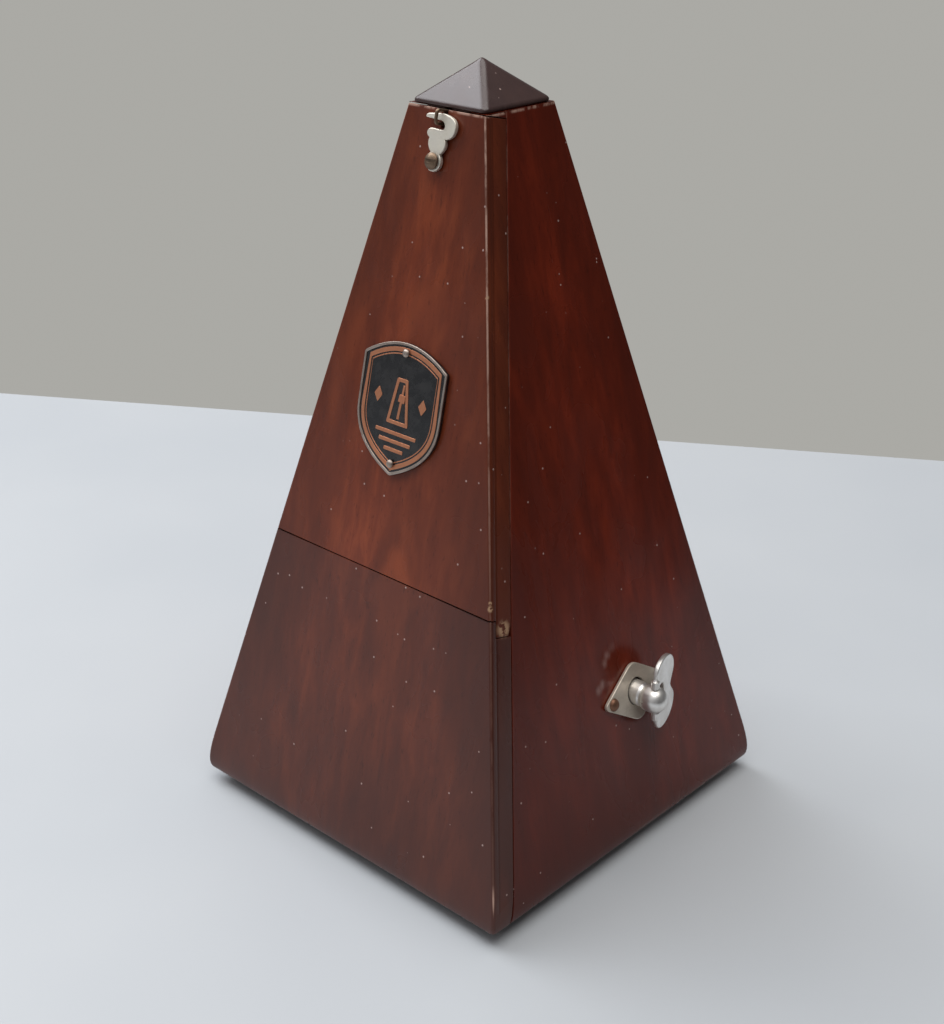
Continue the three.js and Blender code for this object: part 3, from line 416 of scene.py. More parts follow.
COVER_WOOD = lacquered_wood(
    "mahogany_cover", (0.1, 0.021, 0.0095), (0.178, 0.034, 0.013), (0.32, 0.068, 0.022),
    flame=0.6, roughness=0.19, shine=0.32,
)
FRONT_WOOD = lacquered_wood(
    "mahogany_front", (0.075, 0.019, 0.0115), (0.12, 0.0265, 0.013), (0.21, 0.046, 0.018),
    flame=0.4, roughness=0.24,
)
SIDE_WOOD = lacquered_wood(
    "mahogany_side", (0.085, 0.0115, 0.005), (0.14, 0.016, 0.0055), (0.25, 0.029, 0.009),
    flame=0.5, roughness=0.2, shine=0.3,
)
CAP_WOOD = lacquered_wood(
    "mahogany_cap", (0.052, 0.028, 0.0255), (0.07, 0.038, 0.033), (0.09, 0.047, 0.039),
    flame=0.2, roughness=0.2, shine=0.5, ripple=0.0, wear=0.3,
)
RAW_WOOD = plain_wood("unfinished_wood", (0.13, 0.06, 0.03), (0.3, 0.17, 0.085), 0.55)
FOOT_WOOD = plain_wood("stained_foot", (0.014, 0.007, 0.005), (0.035, 0.015, 0.009), 0.3)
NICKEL = metal(
    "worn_nickel", (0.8, 0.755, 0.66), (0.62, 0.565, 0.47), 0.42, (1, 1, 0.1), 0.5, 0.75
)
BRIGHT_NICKEL = metal(
    "polished_nickel", (0.84, 0.82, 0.79), (0.66, 0.63, 0.58), 0.27, (0.1, 1, 1), 0.5, 0.9
)
DULL_NICKEL = metal(
    "dull_nickel", (0.64, 0.565, 0.475), (0.5, 0.44, 0.365), 0.44, (1, 0.1, 1), 0.6, 0.7
)
COPPER = metal("copper_head", (0.27, 0.145, 0.095), (0.16, 0.085, 0.055), 0.42, (1, 1, 0.2), 0.6)
BORDER = metal("copper_border", (0.62, 0.27, 0.15), (0.42, 0.17, 0.1), 0.4, (1, 1, 0.2), 0.4)
RIM = metal("badge_rim", (0.46, 0.39, 0.34), (0.22, 0.16, 0.13), 0.34, (1, 1, 0.2), 0.6)
BRASS = metal("lacquered_brass", (0.72, 0.5, 0.2), (0.5, 0.32, 0.12), 0.26, (1, 1, 0.08), 0.45)
OLD_BRASS = metal("old_screw", (0.22, 0.155, 0.105), (0.11, 0.07, 0.05), 0.4, (1, 1, 0.2), 0.7)
STEEL = metal("bright_steel", (0.55, 0.56, 0.58), (0.38, 0.38, 0.4), 0.26, (1, 1, 0.08), 0.4)
BLUE_STEEL = metal("blued_steel", (0.06, 0.09, 0.17), (0.03, 0.04, 0.08), 0.28, (1, 1, 0.2), 0.5)
LEAD = metal("cast_lead", (0.2, 0.2, 0.215), (0.11, 0.11, 0.12), 0.5, (1, 1, 1), 0.7)
SILVERED = metal("silvered_scale", (0.74, 0.72, 0.66), (0.6, 0.56, 0.47), 0.42, (0.1, 1, 1), 0.4)
ENAMEL = enamel("black_enamel")
INK = painted("scale_ink", (0.012, 0.011, 0.01), (0.03, 0.026, 0.022), 0.5)

SLOT_LOOKS = {
    "wood": SIDE_WOOD,
    "dark_wood": CAP_WOOD,
    "bare_wood": RAW_WOOD,
    "enamel": ENAMEL,
    "nickel": NICKEL,
    "dull_nickel": DULL_NICKEL,
    "copper": COPPER,
    "brass": BRASS,
    "steel": STEEL,
    "blue_steel": BLUE_STEEL,
    "lead": LEAD,
    "scale_metal": SILVERED,
}
SLOTS = {part["node"]: part["material_slot"] for part in frame["record"]["subparts"]}
BODY_OF = {n: body for body, nodes in frame["record"]["behaviour"]["bodies"].items() for n in nodes}


def dress(piece, material):
    piece.data.materials.clear()
    piece.data.materials.append(material)


for node, thing in frame["nodes"].items():
    dress(thing, SLOT_LOOKS[SLOTS[node]])


# ---------------------------------------------------------------- making pieces
WELD_DISTANCE = 2e-6  # in metres
SHARP_ANGLE = 0.5  # in radians; only sharper edges are rounded


def new_piece(name, mesh):
    piece = bpy.data.objects.new(name, mesh)
    bpy.context.scene.collection.objects.link(piece)
    return piece


def weld(mesh):
    work = bmesh.new()
    work.from_mesh(mesh)
    bmesh.ops.remove_doubles(work, verts=work.verts, dist=WELD_DISTANCE)
    bmesh.ops.recalc_face_normals(work, faces=work.faces)
    work.to_mesh(mesh)
    work.free()


def evaluated_mesh(thing):
    bpy.context.view_layer.update()
    ready = thing.evaluated_get(bpy.context.evaluated_depsgraph_get())
    return bpy.data.meshes.new_from_object(ready)


def built(name, work, matrix):
    """Piece from a bmesh, which is used up."""
    mesh = bpy.data.meshes.new(name)
    work.to_mesh(mesh)
    work.free()
    mesh.transform(matrix)
    return new_piece(name, mesh)


def apply_modifiers(piece):
    baked = evaluated_mesh(piece)
    piece.modifiers.clear()
    old = piece.data
    piece.data = baked
    bpy.data.meshes.remove(old)


def shade(piece, angle=35):
    """Smooth shading with crisp edges, and normals that keep large faces flat."""
    piece.data.shade_smooth()
    piece.data.set_sharp_from_angle(angle=math.radians(angle))
    piece.modifiers.new("normals", "WEIGHTED_NORMAL").keep_sharp = True
    apply_modifiers(piece)


def settle(piece, body, slot, material, *replaced, angle=35):
    """Finishes a piece: gives it its material and its body, and hides the CAD nodes that it stands for;
    the slot is not used.
    """
    dress(piece, material)
    shade(piece, angle)
    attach(piece, body)
    if replaced:
        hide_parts(*replaced)
    return piece


def combine(piece, other, operation):
    """Boolean with another object, which is used up."""
    step = piece.modifiers.new("combine", "BOOLEAN")
    step.operation = operation
    step.solver = "EXACT"
    step.object = other
    apply_modifiers(piece)
    bpy.data.objects.remove(other)
    return piece


def round_edges(piece, widths, segments=3, flat=1.0):
    """Rounds the sharp edges of a piece; widths(middle of the edge) gives each radius in mm."""
    mesh = piece.data
    work = bmesh.new()
    work.from_mesh(mesh)
    bmesh.ops.remove_doubles(work, verts=work.verts, dist=WELD_DISTANCE)
    limit = math.radians(flat)
    bmesh.ops.dissolve_limit(work, angle_limit=limit, verts=work.verts, edges=work.edges)
    layer = work.edges.layers.float.get("bevel_weight_edge")
    layer = layer or work.edges.layers.float.new("bevel_weight_edge")
    sharp = [e for e in work.edges if len(e.link_faces) == 2 and e.calc_face_angle(0) > SHARP_ANGLE]
    sizes = {e: widths((e.verts[0].co + e.verts[1].co) / 2) for e in sharp}
    largest = max(sizes.values())
    for edge, size in sizes.items():
        edge[layer] = size / largest
    work.to_mesh(mesh)
    work.free()
    step = piece.modifiers.new("round", "BEVEL")
    step.limit_method = "WEIGHT"
    step.width = largest * MM
    step.segments = segments
    step.use_clamp_overlap = False
    step.miter_outer = "MITER_ARC"
    apply_modifiers(piece)
    return piece


def copy_of(node):
    return new_piece(node + "_fine", frame["nodes"][node].data.copy())


def finer(node, width):
    """A copy of a CAD node with its sharp edges rounded, which stands for it."""
    piece = round_edges(copy_of(node), lambda middle: width, 2)
    return settle(piece, BODY_OF[node], SLOTS[node], SLOT_LOOKS[SLOTS[node]], node)


def curve_mesh(curve, matrix):
    """Mesh of a curve or a text, taken to its place."""
    holder = bpy.data.objects.new("curve", curve)
    bpy.context.scene.collection.objects.link(holder)
    mesh = evaluated_mesh(holder)
    bpy.data.objects.remove(holder)
    mesh.transform(matrix)
    weld(mesh)
    return mesh


def flat_plate(name, loops, thickness, rounding, matrix, steps=3):
    """Flat piece from closed outlines in mm, the first outer and the rest holes, edges rounded."""
    curve = bpy.data.curves.new(name, "CURVE")
    curve.dimensions = "2D"
    curve.fill_mode = "BOTH"
    curve.extrude = thickness / 2 - rounding
    curve.bevel_depth = rounding
    curve.bevel_resolution = steps
    curve.offset = -rounding
    for loop in loops:
        spline = curve.splines.new("POLY")
        spline.points.add(len(loop) - 1)
        for point, (x, y) in zip(spline.points, loop):
            point.co = (x, y, 0, 1)
        spline.use_cyclic_u = True
    return new_piece(name, curve_mesh(curve, matrix @ Matrix.Translation((0, 0, thickness / 2))))


def wire(name, points, radius, matrix):
    """Open round wire through points in mm of the matrix's frame."""
    curve = bpy.data.curves.new(name, "CURVE")
    curve.dimensions = "3D"
    curve.bevel_depth = radius
    curve.bevel_resolution = 5
    curve.use_fill_caps = True
    spline = curve.splines.new("POLY")
    spline.points.add(len(points) - 1)
    for point, place in zip(spline.points, points):
        point.co = (*place, 1)
    return new_piece(name, curve_mesh(curve, matrix))


def lathe(name, profile, matrix, segments=64):
    """Turned piece: profile holds (radius, distance along z) pairs in mm, from axis to axis."""
    work = bmesh.new()
    rings = []
    for radius, along in profile:
        if radius < 1e-6:
            rings.append([work.verts.new((0, 0, along))])
            continue
        angles = [2 * math.pi * i / segments for i in range(segments)]
        ring = [(radius * math.cos(a), radius * math.sin(a), along) for a in angles]
        rings.append([work.verts.new(point) for point in ring])
    for low, high in zip(rings, rings[1:]):
        for i in range(segments):
            j = (i + 1) % segments
            corners = [low[i % len(low)], low[j % len(low)]]
            corners += [high[j % len(high)], high[i % len(high)]]
            unique = [v for k, v in enumerate(corners) if v not in corners[:k]]
            if len(unique) > 2:
                work.faces.new(unique)
    bmesh.ops.recalc_face_normals(work, faces=work.faces)
    return built(name, work, matrix)


def block(name, low, high, matrix):
    """Box between two corners, in mm of the matrix's frame."""
    work = bmesh.new()
    bmesh.ops.create_cube(work, size=1)
    for vertex in work.verts:
        vertex.co = Vector([(a + b) / 2 + c * (b - a) for a, b, c in zip(low, high, vertex.co)])
    return built(name, work, matrix)


def steps_between(start, end, count):
    return [start + (end - start) * i / count for i in range(count + 1)]


def bezier(points, steps=10):
    """Samples a closed outline: each entry is a corner, or two handles and an end point."""
    sampled = [points[0]]
    for entry in points[1:]:
        if len(entry) == 2:
            sampled.append(entry)
            continue
        start = sampled[-1]
        x1, y1, x2, y2, x3, y3 = entry
        for step in range(1, steps + 1):
            t = step / steps
            k = (1 - t) ** 3, 3 * t * (1 - t) ** 2, 3 * t * t * (1 - t), t**3
            x = k[0] * start[0] + k[1] * x1 + k[2] * x2 + k[3] * x3
            y = k[0] * start[1] + k[1] * y1 + k[2] * y2 + k[3] * y3
            sampled.append((x, y))
    if math.dist(sampled[0], sampled[-1]) < 1e-4:
        sampled.pop()
    return sampled


def circle(x, y, radius, count=32):
    turn = [2 * math.pi * i / count for i in range(count)]
    return [(x + radius * math.cos(a), y + radius * math.sin(a)) for a in turn]


def rounded(points, radius, steps=6):
    """Closed outline with each corner replaced by a soft curve."""
    made = []
    count = len(points)
    for i, point in enumerate(points):
        here = Vector(point)
        back, ahead = Vector(points[i - 1]) - here, Vector(points[(i + 1) % count]) - here
        cut_back = here + back.normalized() * min(radius, back.length * 0.45)
        cut_ahead = here + ahead.normalized() * min(radius, ahead.length * 0.45)
        for step in range(steps + 1):
            t = step / steps
            spot = cut_back * (1 - t) ** 2 + here * 2 * t * (1 - t) + cut_ahead * t * t
            made.append((spot.x, spot.y))
    return made


def clearance(point, loop):
    """Distance from a point to a closed outline."""
    nearest = math.inf
    for i, end in enumerate(loop):
        start = Vector(loop[i - 1])
        run = Vector(end) - start
        share = (Vector(point) - start).dot(run) / max(run.length_squared, 1e-9)
        nearest = min(nearest, (Vector(point) - start - run * min(1, max(0, share))).length)
    return nearest


def inset(loop, distance):
    """Outline moved inward by a distance, without the folds this makes at tight corners."""
    area = sum(a[0] * b[1] - b[0] * a[1] for a, b in zip(loop, loop[1:] + loop[:1]))
    side = 1 if area > 0 else -1
    made = []
    for i, point in enumerate(loop):
        before = Vector(point) - Vector(loop[i - 1])
        after = Vector(loop[(i + 1) % len(loop)]) - Vector(point)
        if min(before.length, after.length) < 1e-4:
            continue
        normals = [Vector((-v.y, v.x)).normalized() * side for v in (before, after)]
        middle = (normals[0] + normals[1]).normalized()
        reach = distance / max(0.35, middle.dot(normals[0]))
        moved = (point[0] + middle.x * reach, point[1] + middle.y * reach)
        if clearance(moved, loop) > distance * 0.98:
            made.append(moved)
    return made


# ---------------------------------------------------------------- wooden case
# Height and inset of the outside, from the straight slope down to the lower edge.
SKIRT = [
    (15, 0), (12, 0.06), (9.5, 0.2), (7.6, 0.42), (6.2, 0.7),
    (5.1, 1.05), (4.4, 1.45), (4.0, 2.0), (3.7, 3.0),
]
ARRIS = 0.85  # radius of the case's corners
BOARD_PLAY = 0.02  # how far the boards are trimmed inside the CAD
# Place out from the side face and behind the front face, along the groove's section.
GROOVE = [(0.2, 1.45), (-0.17, 2.2), (-0.17, 2.45), (0.2, 3.2)]


def half_width(height):
    """Half width of the case's straight slopes at a height."""
    return BASE_HALF - (height - CASE_BOTTOM) * TAPER


def solid_from_rings(name, rings):
    """Closed solid through rings of points in metres, all with the same count."""
    work = bmesh.new()
    made = [[work.verts.new(point) for point in ring] for ring in rings]
    count = len(made[0])
    for low, high in zip(made, made[1:]):
        for i in range(count):
            j = (i + 1) % count
            work.faces.new((low[i], low[j], high[j], high[i]))
    work.faces.new(made[-1])
    work.faces.new(list(reversed(made[0])))
    bmesh.ops.recalc_face_normals(work, faces=work.faces)
    return built(name, work, Matrix())


def square_ring(half, radius, height, steps):
    """Level square with rounded corners, around the case's middle."""
    ring = []
    for quarter, (sx, sy) in enumerate(((1, 1), (-1, 1), (-1, -1), (1, -1))):
        for a in steps_between(quarter * math.pi / 2, (quarter + 1) * math.pi / 2, steps):
            x = sx * (half - radius) + radius * math.cos(a)
            y = sy * (half - radius) + radius * math.sin(a)
            ring.append(metres(x, y, height))
    return ring


def envelope():
    """The case's outside as one solid with soft corners and lower edges, which trims the boards."""
    rings = []
    for height, cut in [(CASE_TOP + 1, 0)] + SKIRT:
        half = half_width(height) - cut - BOARD_PLAY
        rings.append(square_ring(half, ARRIS + cut * 0.45, height, 7))
    return solid_from_rings("envelope", rings)


def groove(side):
    """Cutter for the fine groove that runs up the side of the front boards."""
    rings = []
    for height in (SKIRT_EDGE - 3, CASE_TOP + 6):
        half = half_width(height)
        rings.append([metres(side * (half + out), -half + back, height) for out, back in GROOVE])
    return solid_from_rings("groove", rings)


def board_rounding(middle):
    """Radius in mm for an edge of a board: crisp at the joints, softer inside."""
    x, y, z = middle.x / MM - AXIS_X, middle.y / MM, middle.z / MM
    half = half_width(z)
    from_side, from_face = half - abs(x), half - abs(y)
    outer = min(from_side, from_face) < 0.2
    if outer and y < 0 and z < CASE_BOTTOM + SEAM * COS + 2:
        return 0.08
    return 0.14 if outer else 0.25


def board(node, material, grooved=False):
    piece = combine(copy_of(node), envelope(), "INTERSECT")
    if grooved:
        combine(piece, groove(1), "DIFFERENCE")
        combine(piece, groove(-1), "DIFFERENCE")
    round_edges(piece, board_rounding, 2, 0.6)
    return settle(piece, BODY_OF[node], "wood", material, node, angle=30)


board("front_cover", COVER_WOOD, True)
board("lower_front_panel", FRONT_WOOD, True)
for side_board in ("left_side_panel", "right_side_panel", "back_panel"):
    board(side_board, SIDE_WOOD)


def cap():
    """Low pyramid with softened ridges and a rounded tip."""
    # Half width and height above the cap's foot: rounded rim, slope, tip.
    profile = [(12.6, 0), (12.98, 0.12), (13.1, 0.45), (13.06, 0.85), (12.85, 1.22), (12.55, 1.52)]
    profile += [(2.4, 9.9), (1.6, 10.5), (0.95, 10.95), (0.4, 11.25), (0.1, 11.35)]
    ridge = 1.9
    rings = []
    for half, climb in profile:
        rings.append(square_ring(half, min(ridge, half * 0.98), CAP_FOOT + climb, 11))
    settle(solid_from_rings("cap_fine", rings), "case", "dark_wood", CAP_WOOD, "cap", angle=60)


cap()
finer("top_block", 0.3)
finer("base_board", 0.4)

# Radius and height of the turned feet and their felt pads.
FOOT_PROFILE = [(0, 0.4), (4.6, 0.4), (5.3, 0.55), (6.0, 1.1), (6.4, 2.0), (6.4, 3.0), (6.0, 4.1)]
FOOT_PROFILE += [(5.4, 4.9), (5.2, 5.4), (5.2, 5.95), (0, 5.95)]
PAD_PROFILE = [(0, 0), (4.7, 0), (4.9, 0.15), (4.9, 0.45), (0, 0.45)]
FELT = painted("green_felt", (0.02, 0.045, 0.025), (0.035, 0.07, 0.04), 0.9)
for end, sign_y in (("front", -1), ("back", 1)):
    for side, sign_x in (("left", -1), ("right", 1)):
        node = f"foot_{end}_{side}"
        middle = metres(FOOT_SPREAD * sign_x, FOOT_SPREAD * sign_y, 0)
        place = Matrix.Translation(middle) @ Matrix.Scale(MM, 4)
        settle(lathe(node + "_fine", FOOT_PROFILE, place, 48), "case", "dark_wood", FOOT_WOOD, node)
        settle(lathe(node + "_pad", PAD_PROFILE, place, 40), "case", "dark_wood", FELT)


# ---------------------------------------------------------------- badge
def shield():
    """A plain shield: arched top, straight shoulders and a pointed foot."""
    w, h = 15.4, 18.3
    top = [(-w, h * 0.72), (-w / 3, h * 1.093, w / 3, h * 1.093, w, h * 0.72)]
    foot = [(w, -h * 0.05), (w, -h * 0.6, w * 0.45, -h * 0.85, 0, -h)]
    foot += [(-w * 0.45, -h * 0.85, -w, -h * 0.6, -w, -h * 0.05)]
    return list(reversed(bezier(top + foot, 18)))


def badge():
    """Enamel plate with a nickel rim, a copper border and a raised copper motif."""
    outline = rounded(shield(), 0.5, 3)
    place = on_front(BADGE_X, -0.1, BADGE_UP)
    base = flat_plate("badge_fine", [outline], 0.95, 0.25, place, 3)
    settle(base, "cover", "enamel", ENAMEL, "badge")
    raised = place @ Matrix.Translation((0, 0, 0.75))
    rim = flat_plate("badge_rim", [outline, inset(outline, 0.75)], 0.5, 0.18, raised)
    settle(rim, "cover", "nickel", RIM)

    def inlay(name, loops, thickness=0.32, rounding=0.08):
        piece = flat_plate("badge_" + name, loops, thickness, rounding, raised)
        settle(piece, "cover", "copper", BORDER)

    inlay("border", [inset(outline, 1.35), inset(outline, 2.55)])
    inlay("hairline", [inset(outline, 3.0), inset(outline, 3.3)], 0.28, 0.06)
    # A small trapezoid frame with a leaning bar, over three level bars.
    tower = [(-4.1, -4.2), (4.1, -4.2), (2.0, 8.6), (-2.0, 8.6)]
    inlay("motif_frame", [rounded(tower, 0.6), rounded(inset(tower, 1.0), 0.3)])
    inlay("motif_bar", [[(-0.45, -2.6), (0.45, -2.6), (1.2, 6.9), (0.5, 6.9)]], rounding=0.07)
    knob = [(-0.7, 2.2), (1.7, 2.0), (1.95, 4.1), (-0.35, 4.3)]
    inlay("motif_knob", [rounded(knob, 0.3)], 0.42)
    for index, (half, height) in enumerate(((7.6, -6.6), (5.9, -8.9), (3.6, -11.2))):
        low, high = height - 0.5, height + 0.5
        strip = [(-half, low), (half, low), (half, high), (-half, high)]
        inlay(f"motif_level_{index}", [rounded(strip, 0.3)])
    for name, side in (("left", -1), ("right", 1)):
        middle = side * 8.3
        lozenge = [(middle, 0.4), (middle + 1.5, 2.6), (middle, 4.8), (middle - 1.5, 2.6)]
        lozenge = rounded(lozenge, 0.25)
        inlay("motif_lozenge_" + name, [list(reversed(lozenge)) if side < 0 else lozenge])


badge()
# Radius and height along the badge's pins, from the board to the top of the head.
BADGE_PIN = [
    (0, 0), (0.5, 0), (0.5, 3.9), (1.15, 3.9), (1.1, 4.15), (0.85, 4.4), (0.45, 4.55), (0, 4.6),
]
for name, up in (("badge_pin_upper", BADGE_UP + 15.6), ("badge_pin_lower", BADGE_UP - 15)):
    piece = lathe(name + "_fine", BADGE_PIN, on_front(BADGE_X, 2.4, up), 32)
    settle(piece, "cover", "nickel", RIM, name)


# ---------------------------------------------------------------- latch
def latch_outline():
    """The hook's outline, from the round eye at its screw to the open hook above."""
    eye = 2.65
    sweep = steps_between(2.1, 2 * math.pi + 0.8, 40)
    foot = [(eye * math.cos(a), eye * math.sin(a)) for a in sweep]
    rest = [
        (2.6, 2.6, 3.45, 3.4, 3.45, 4.5),
        (3.45, 5.1, 3.3, 5.5, 3.0, 5.9),
        (4.9, 6.0, 6.2, 7.4, 6.2, 9.2),
        (6.2, 10.4, 5.6, 11.2, 4.5, 11.7),
        (3.4, 12.2, 1.8, 12.45, 0.5, 12.45),
        (-3.3, 12.05),
        (-4.6, 11.9, -5.1, 11.1, -4.3, 10.8),
        (0.5, 10.65),
        (2.1, 10.5, 2.7, 9.5, 2.2, 8.45),
        (0.7, 8.0, -0.4, 8.5, -1.7, 8.4),
        (-3.6, 8.5, -4.3, 6.6, -2.5, 5.9),
        (-2.9, 4.6, -2.6, 3.4, -1.34, 2.29),
    ]
    return foot[:-1] + bezier([foot[-1]] + rest, 10)


hook = flat_plate(
    "latch_hook_fine",
    [latch_outline(), list(reversed(circle(0, 0, 1.1)))],
    1.2,
    0.24,
    on_front(LATCH_X, -0.6, LATCH_UP),
)
settle(hook, "latch", "nickel", NICKEL, "latch_hook")

# Radius and height of the screw, from the shank to the domed head.
SCREW = [(0, 0), (0.7, 0), (0.7, 4.3), (2.15, 4.3), (2.25, 4.4), (2.22, 4.7), (1.95, 5.05)]
SCREW += [(1.4, 5.35), (0.7, 5.53), (0, 5.58)]
screw_place = on_front(LATCH_X, 2.2, LATCH_UP)
screw = lathe("latch_screw_fine", SCREW, screw_place, 56)
combine(screw, block("slot", (-3, -0.42, 5.0), (3, 0.42, 6.2), screw_place), "DIFFERENCE")
round_edges(screw, lambda middle: 0.07, 2, 0.3)
settle(screw, "cover", "brass", OLD_BRASS, "latch_screw")


def staple():
    """Wire loop that the hook passes through, driven in above and below the hook's bar."""
    reach, bend, buried = 3.25, 0.75, -9.5
    low, high, straight = -STAPLE_SPREAD, STAPLE_SPREAD, reach - bend
    turn = steps_between(0, math.pi / 2, 8)
    path = [(0, low, buried), (0, low, straight)]
    for a in turn[1:]:
        path.append((0, low + bend * (1 - math.cos(a)), straight + bend * math.sin(a)))
    for a in turn:
        path.append((0, high - bend * (1 - math.sin(a)), straight + bend * math.cos(a)))
    path.append((0, high, buried))
    piece = wire("latch_staple_fine", path, 0.46, on_front(STAPLE_X, 0, STAPLE_UP))
    settle(piece, "case", "nickel", OLD_BRASS, "latch_staple", angle=60)


staple()

# ---------------------------------------------------------------- key and its plate
BALL = 3.9  # radius of the key's ball end and of the hole for its hub
lozenge = rounded([(14.6, 0), (0, 9.2), (-14.6, 0), (0, -9.2)], 2.7, 8)
seat = on_right(KEY_Y, -0.15, KEY_UP)
hub_hole = [(x, y / COS) for x, y in reversed(circle(0, 0, BALL, 48))]
escutcheon = flat_plate("key_escutcheon_fine", [lozenge, hub_hole], 1.15, 0.3, seat, 4)
settle(escutcheon, "case", "dull_nickel", DULL_NICKEL, "key_escutcheon")
# Radius and height of the escutcheon's pin heads.
HEAD = [(0, 0.9), (1.84, 0.9), (1.9, 1.0), (1.87, 1.3), (1.7, 1.72), (1.35, 2.1), (0.86, 2.35)]
HEAD += [(0.4, 2.45), (0, 2.47)]
for name, side in (("escutcheon_pin_front", -1), ("escutcheon_pin_back", 1)):
    piece = lathe(name + "_fine", HEAD, on_right(KEY_Y + side * 10.4, 0, KEY_UP), 40)
    settle(piece, "case", "copper", COPPER, name)

# Radius and place along the hub, from inside the case to the ball end's tip.
HUB = [(0, -15), (3.3, -15), (3.5, -14.75), (3.5, -4.6), (3.42, -4.3), (3.2, -4.05), (3.1, -3.8)]
HUB += [(3.2, -3.5), (3.5, -3.2), (3.75, -2.7), (BALL, -2.0), (BALL, -0.6)]
ball_arc = steps_between(0.06, math.pi / 2, 14)[:-1]
HUB += [(BALL * math.cos(a), -0.4 + 3.8 * math.sin(a)) for a in ball_arc]
HUB += [(0, 3.4)]
settle(lathe("key_hub_fine", HUB, key_frame(), 96), "key", "nickel", BRIGHT_NICKEL, "key_hub", angle=50)


def wing():
    """Folding butterfly wing: two rounded ears with a waist between them."""
    shape = bezier(
        [
            (-1.2, 3.95),
            (3.4, 3.95),
            (5.8, 3.2, 5.8, -3.2, 3.4, -3.95),
            (-1.2, -3.95),
            (-1.2, -6.4),
            (-0.4, -6.5, -0.1, -6.9, -0.1, -7.7),
            (-0.1, -9.9, 1.9, -11.2, 5.0, -11.2),
            (9.4, -11.2, 12.4, -8.6, 12.4, -5.4),
            (12.4, -3.0, 10.3, -2.0, 9.7, 0),
            (10.3, 2.0, 12.4, 3.0, 12.4, 5.4),
            (12.4, 8.6, 9.4, 11.2, 5.0, 11.2),
            (1.9, 11.2, -0.1, 9.9, -0.1, 7.7),
            (-0.1, 6.9, -0.4, 6.5, -1.2, 6.4),
            (-1.2, 3.95),
        ],
        14,
    )
    spin = Matrix.Rotation(KEY_ROLL, 4, "X")
    outward = spin @ Vector((-math.sin(WING_FOLD), math.cos(WING_FOLD), 0))
    upward = spin @ Vector((0, 0, 1))
    dome = metres(DOME_X, KEY_Y, KEY_Z)
    thickness = 1.5
    place = axes(outward, upward, dome) @ Matrix.Translation((0, 0, -thickness / 2))
    blade = flat_plate("key_wing_fine", [shape], thickness, 0.42, place, 4)
    along = axes(outward.cross(upward), outward, dome)
    for low, high in ((3.95, 6.4), (-6.4, -3.95)):
        knuckle = [(0, low), (1.0, low), (1.2, low + 0.2), (1.2, high - 0.2), (1.0, high), (0, high)]
        combine(blade, lathe("knuckle", knuckle, along, 40), "UNION")
    settle(blade, "wing", "nickel", BRIGHT_NICKEL, "key_wing", angle=40)
    rod = [(0, -6.7), (0.6, -6.7), (0.75, -6.5), (0.75, 6.5), (0.6, 6.7), (0, 6.7)]
    settle(lathe("key_wing_pin_fine", rod, along, 28), "key", "steel", STEEL, "key_wing_pin")


wing()

# ---------------------------------------------------------------- inside the case
for node, width in (
    ("left_plate", 0.25),
    ("right_plate", 0.25),
    ("verge_bracket", 0.25),
    ("escape_cock", 0.2),
    ("movement_seat", 0.3),
    ("sliding_weight", 0.5),
    ("scale_rail_left", 0.3),
    ("scale_rail_right", 0.3),
    ("pendulum_catch", 0.15),
    ("click", 0.15),
    ("ratchet_wheel", 0.08),
):
    finer(node, width)

for node in (
    "great_wheel", "second_wheel", "crown_wheel", "first_pinion", "escape_pinion", "second_arbor",
    "escape_arbor", "winding_arbor", "verge_arbor", "pendulum_rod", "pendulum_bob", "pendulum_collar",
    "pendulum_nut", "pillar_front_lower", "pillar_back_lower", "pillar_front_upper", "pillar_back_upper",
    "click_screw", "click_spring", "mainspring", "scale_plate", "scale_pin_lower_left",
    "scale_pin_lower_right", "scale_pin_upper_left", "scale_pin_upper_right",
):
    finer(node, 0.06 if "pin" in node or "wheel" in node else 0.12)

SCALE_FACE = -0.06  # depth of the printed marks in front of the scale
FIRST_MARK, MARK_STEP = 183.5, 4.35  # up the front slope
TEMPOS = [*range(40, 60, 4), *range(60, 72, 6), *range(72, 120, 8), *range(120, 144, 12)]
TEMPOS += [*range(144, 209, 16)]


def scale_marks():
    """Level marks and tempo numbers on both sides of the scale, low tempos at the top."""
    for index, tempo in enumerate(TEMPOS):
        up = FIRST_MARK - MARK_STEP * index
        half = BASE_HALF - (up * COS) * TAPER - 8.3
        side = 1 if index % 2 else -1
        place = on_front(0, SCALE_DEPTH + SCALE_FACE + 0.05, up)
        reach = sorted((side * 3.2, side * (half - 1.4 if half < 10 else half - 5.2)))
        mark = block(f"scale_mark_{tempo}", (reach[0], -0.14, 0), (reach[1], 0.14, 0.06), place)
        settle(mark, "case", "scale_metal", INK)
        if half < 12:
            continue
        text = bpy.data.curves.new("tempo", "FONT")
        text.body = str(tempo)
        text.size = 3.0
        text.align_x = "RIGHT" if side > 0 else "LEFT"
        text.align_y = "CENTER"
        text.extrude = 0.03
        text.resolution_u = 3
        place = on_front(side * (half - 0.6), SCALE_DEPTH + SCALE_FACE + 0.02, up)
        settle(new_piece(f"scale_number_{tempo}", curve_mesh(text, place)), "case", "scale_metal", INK)


scale_marks()

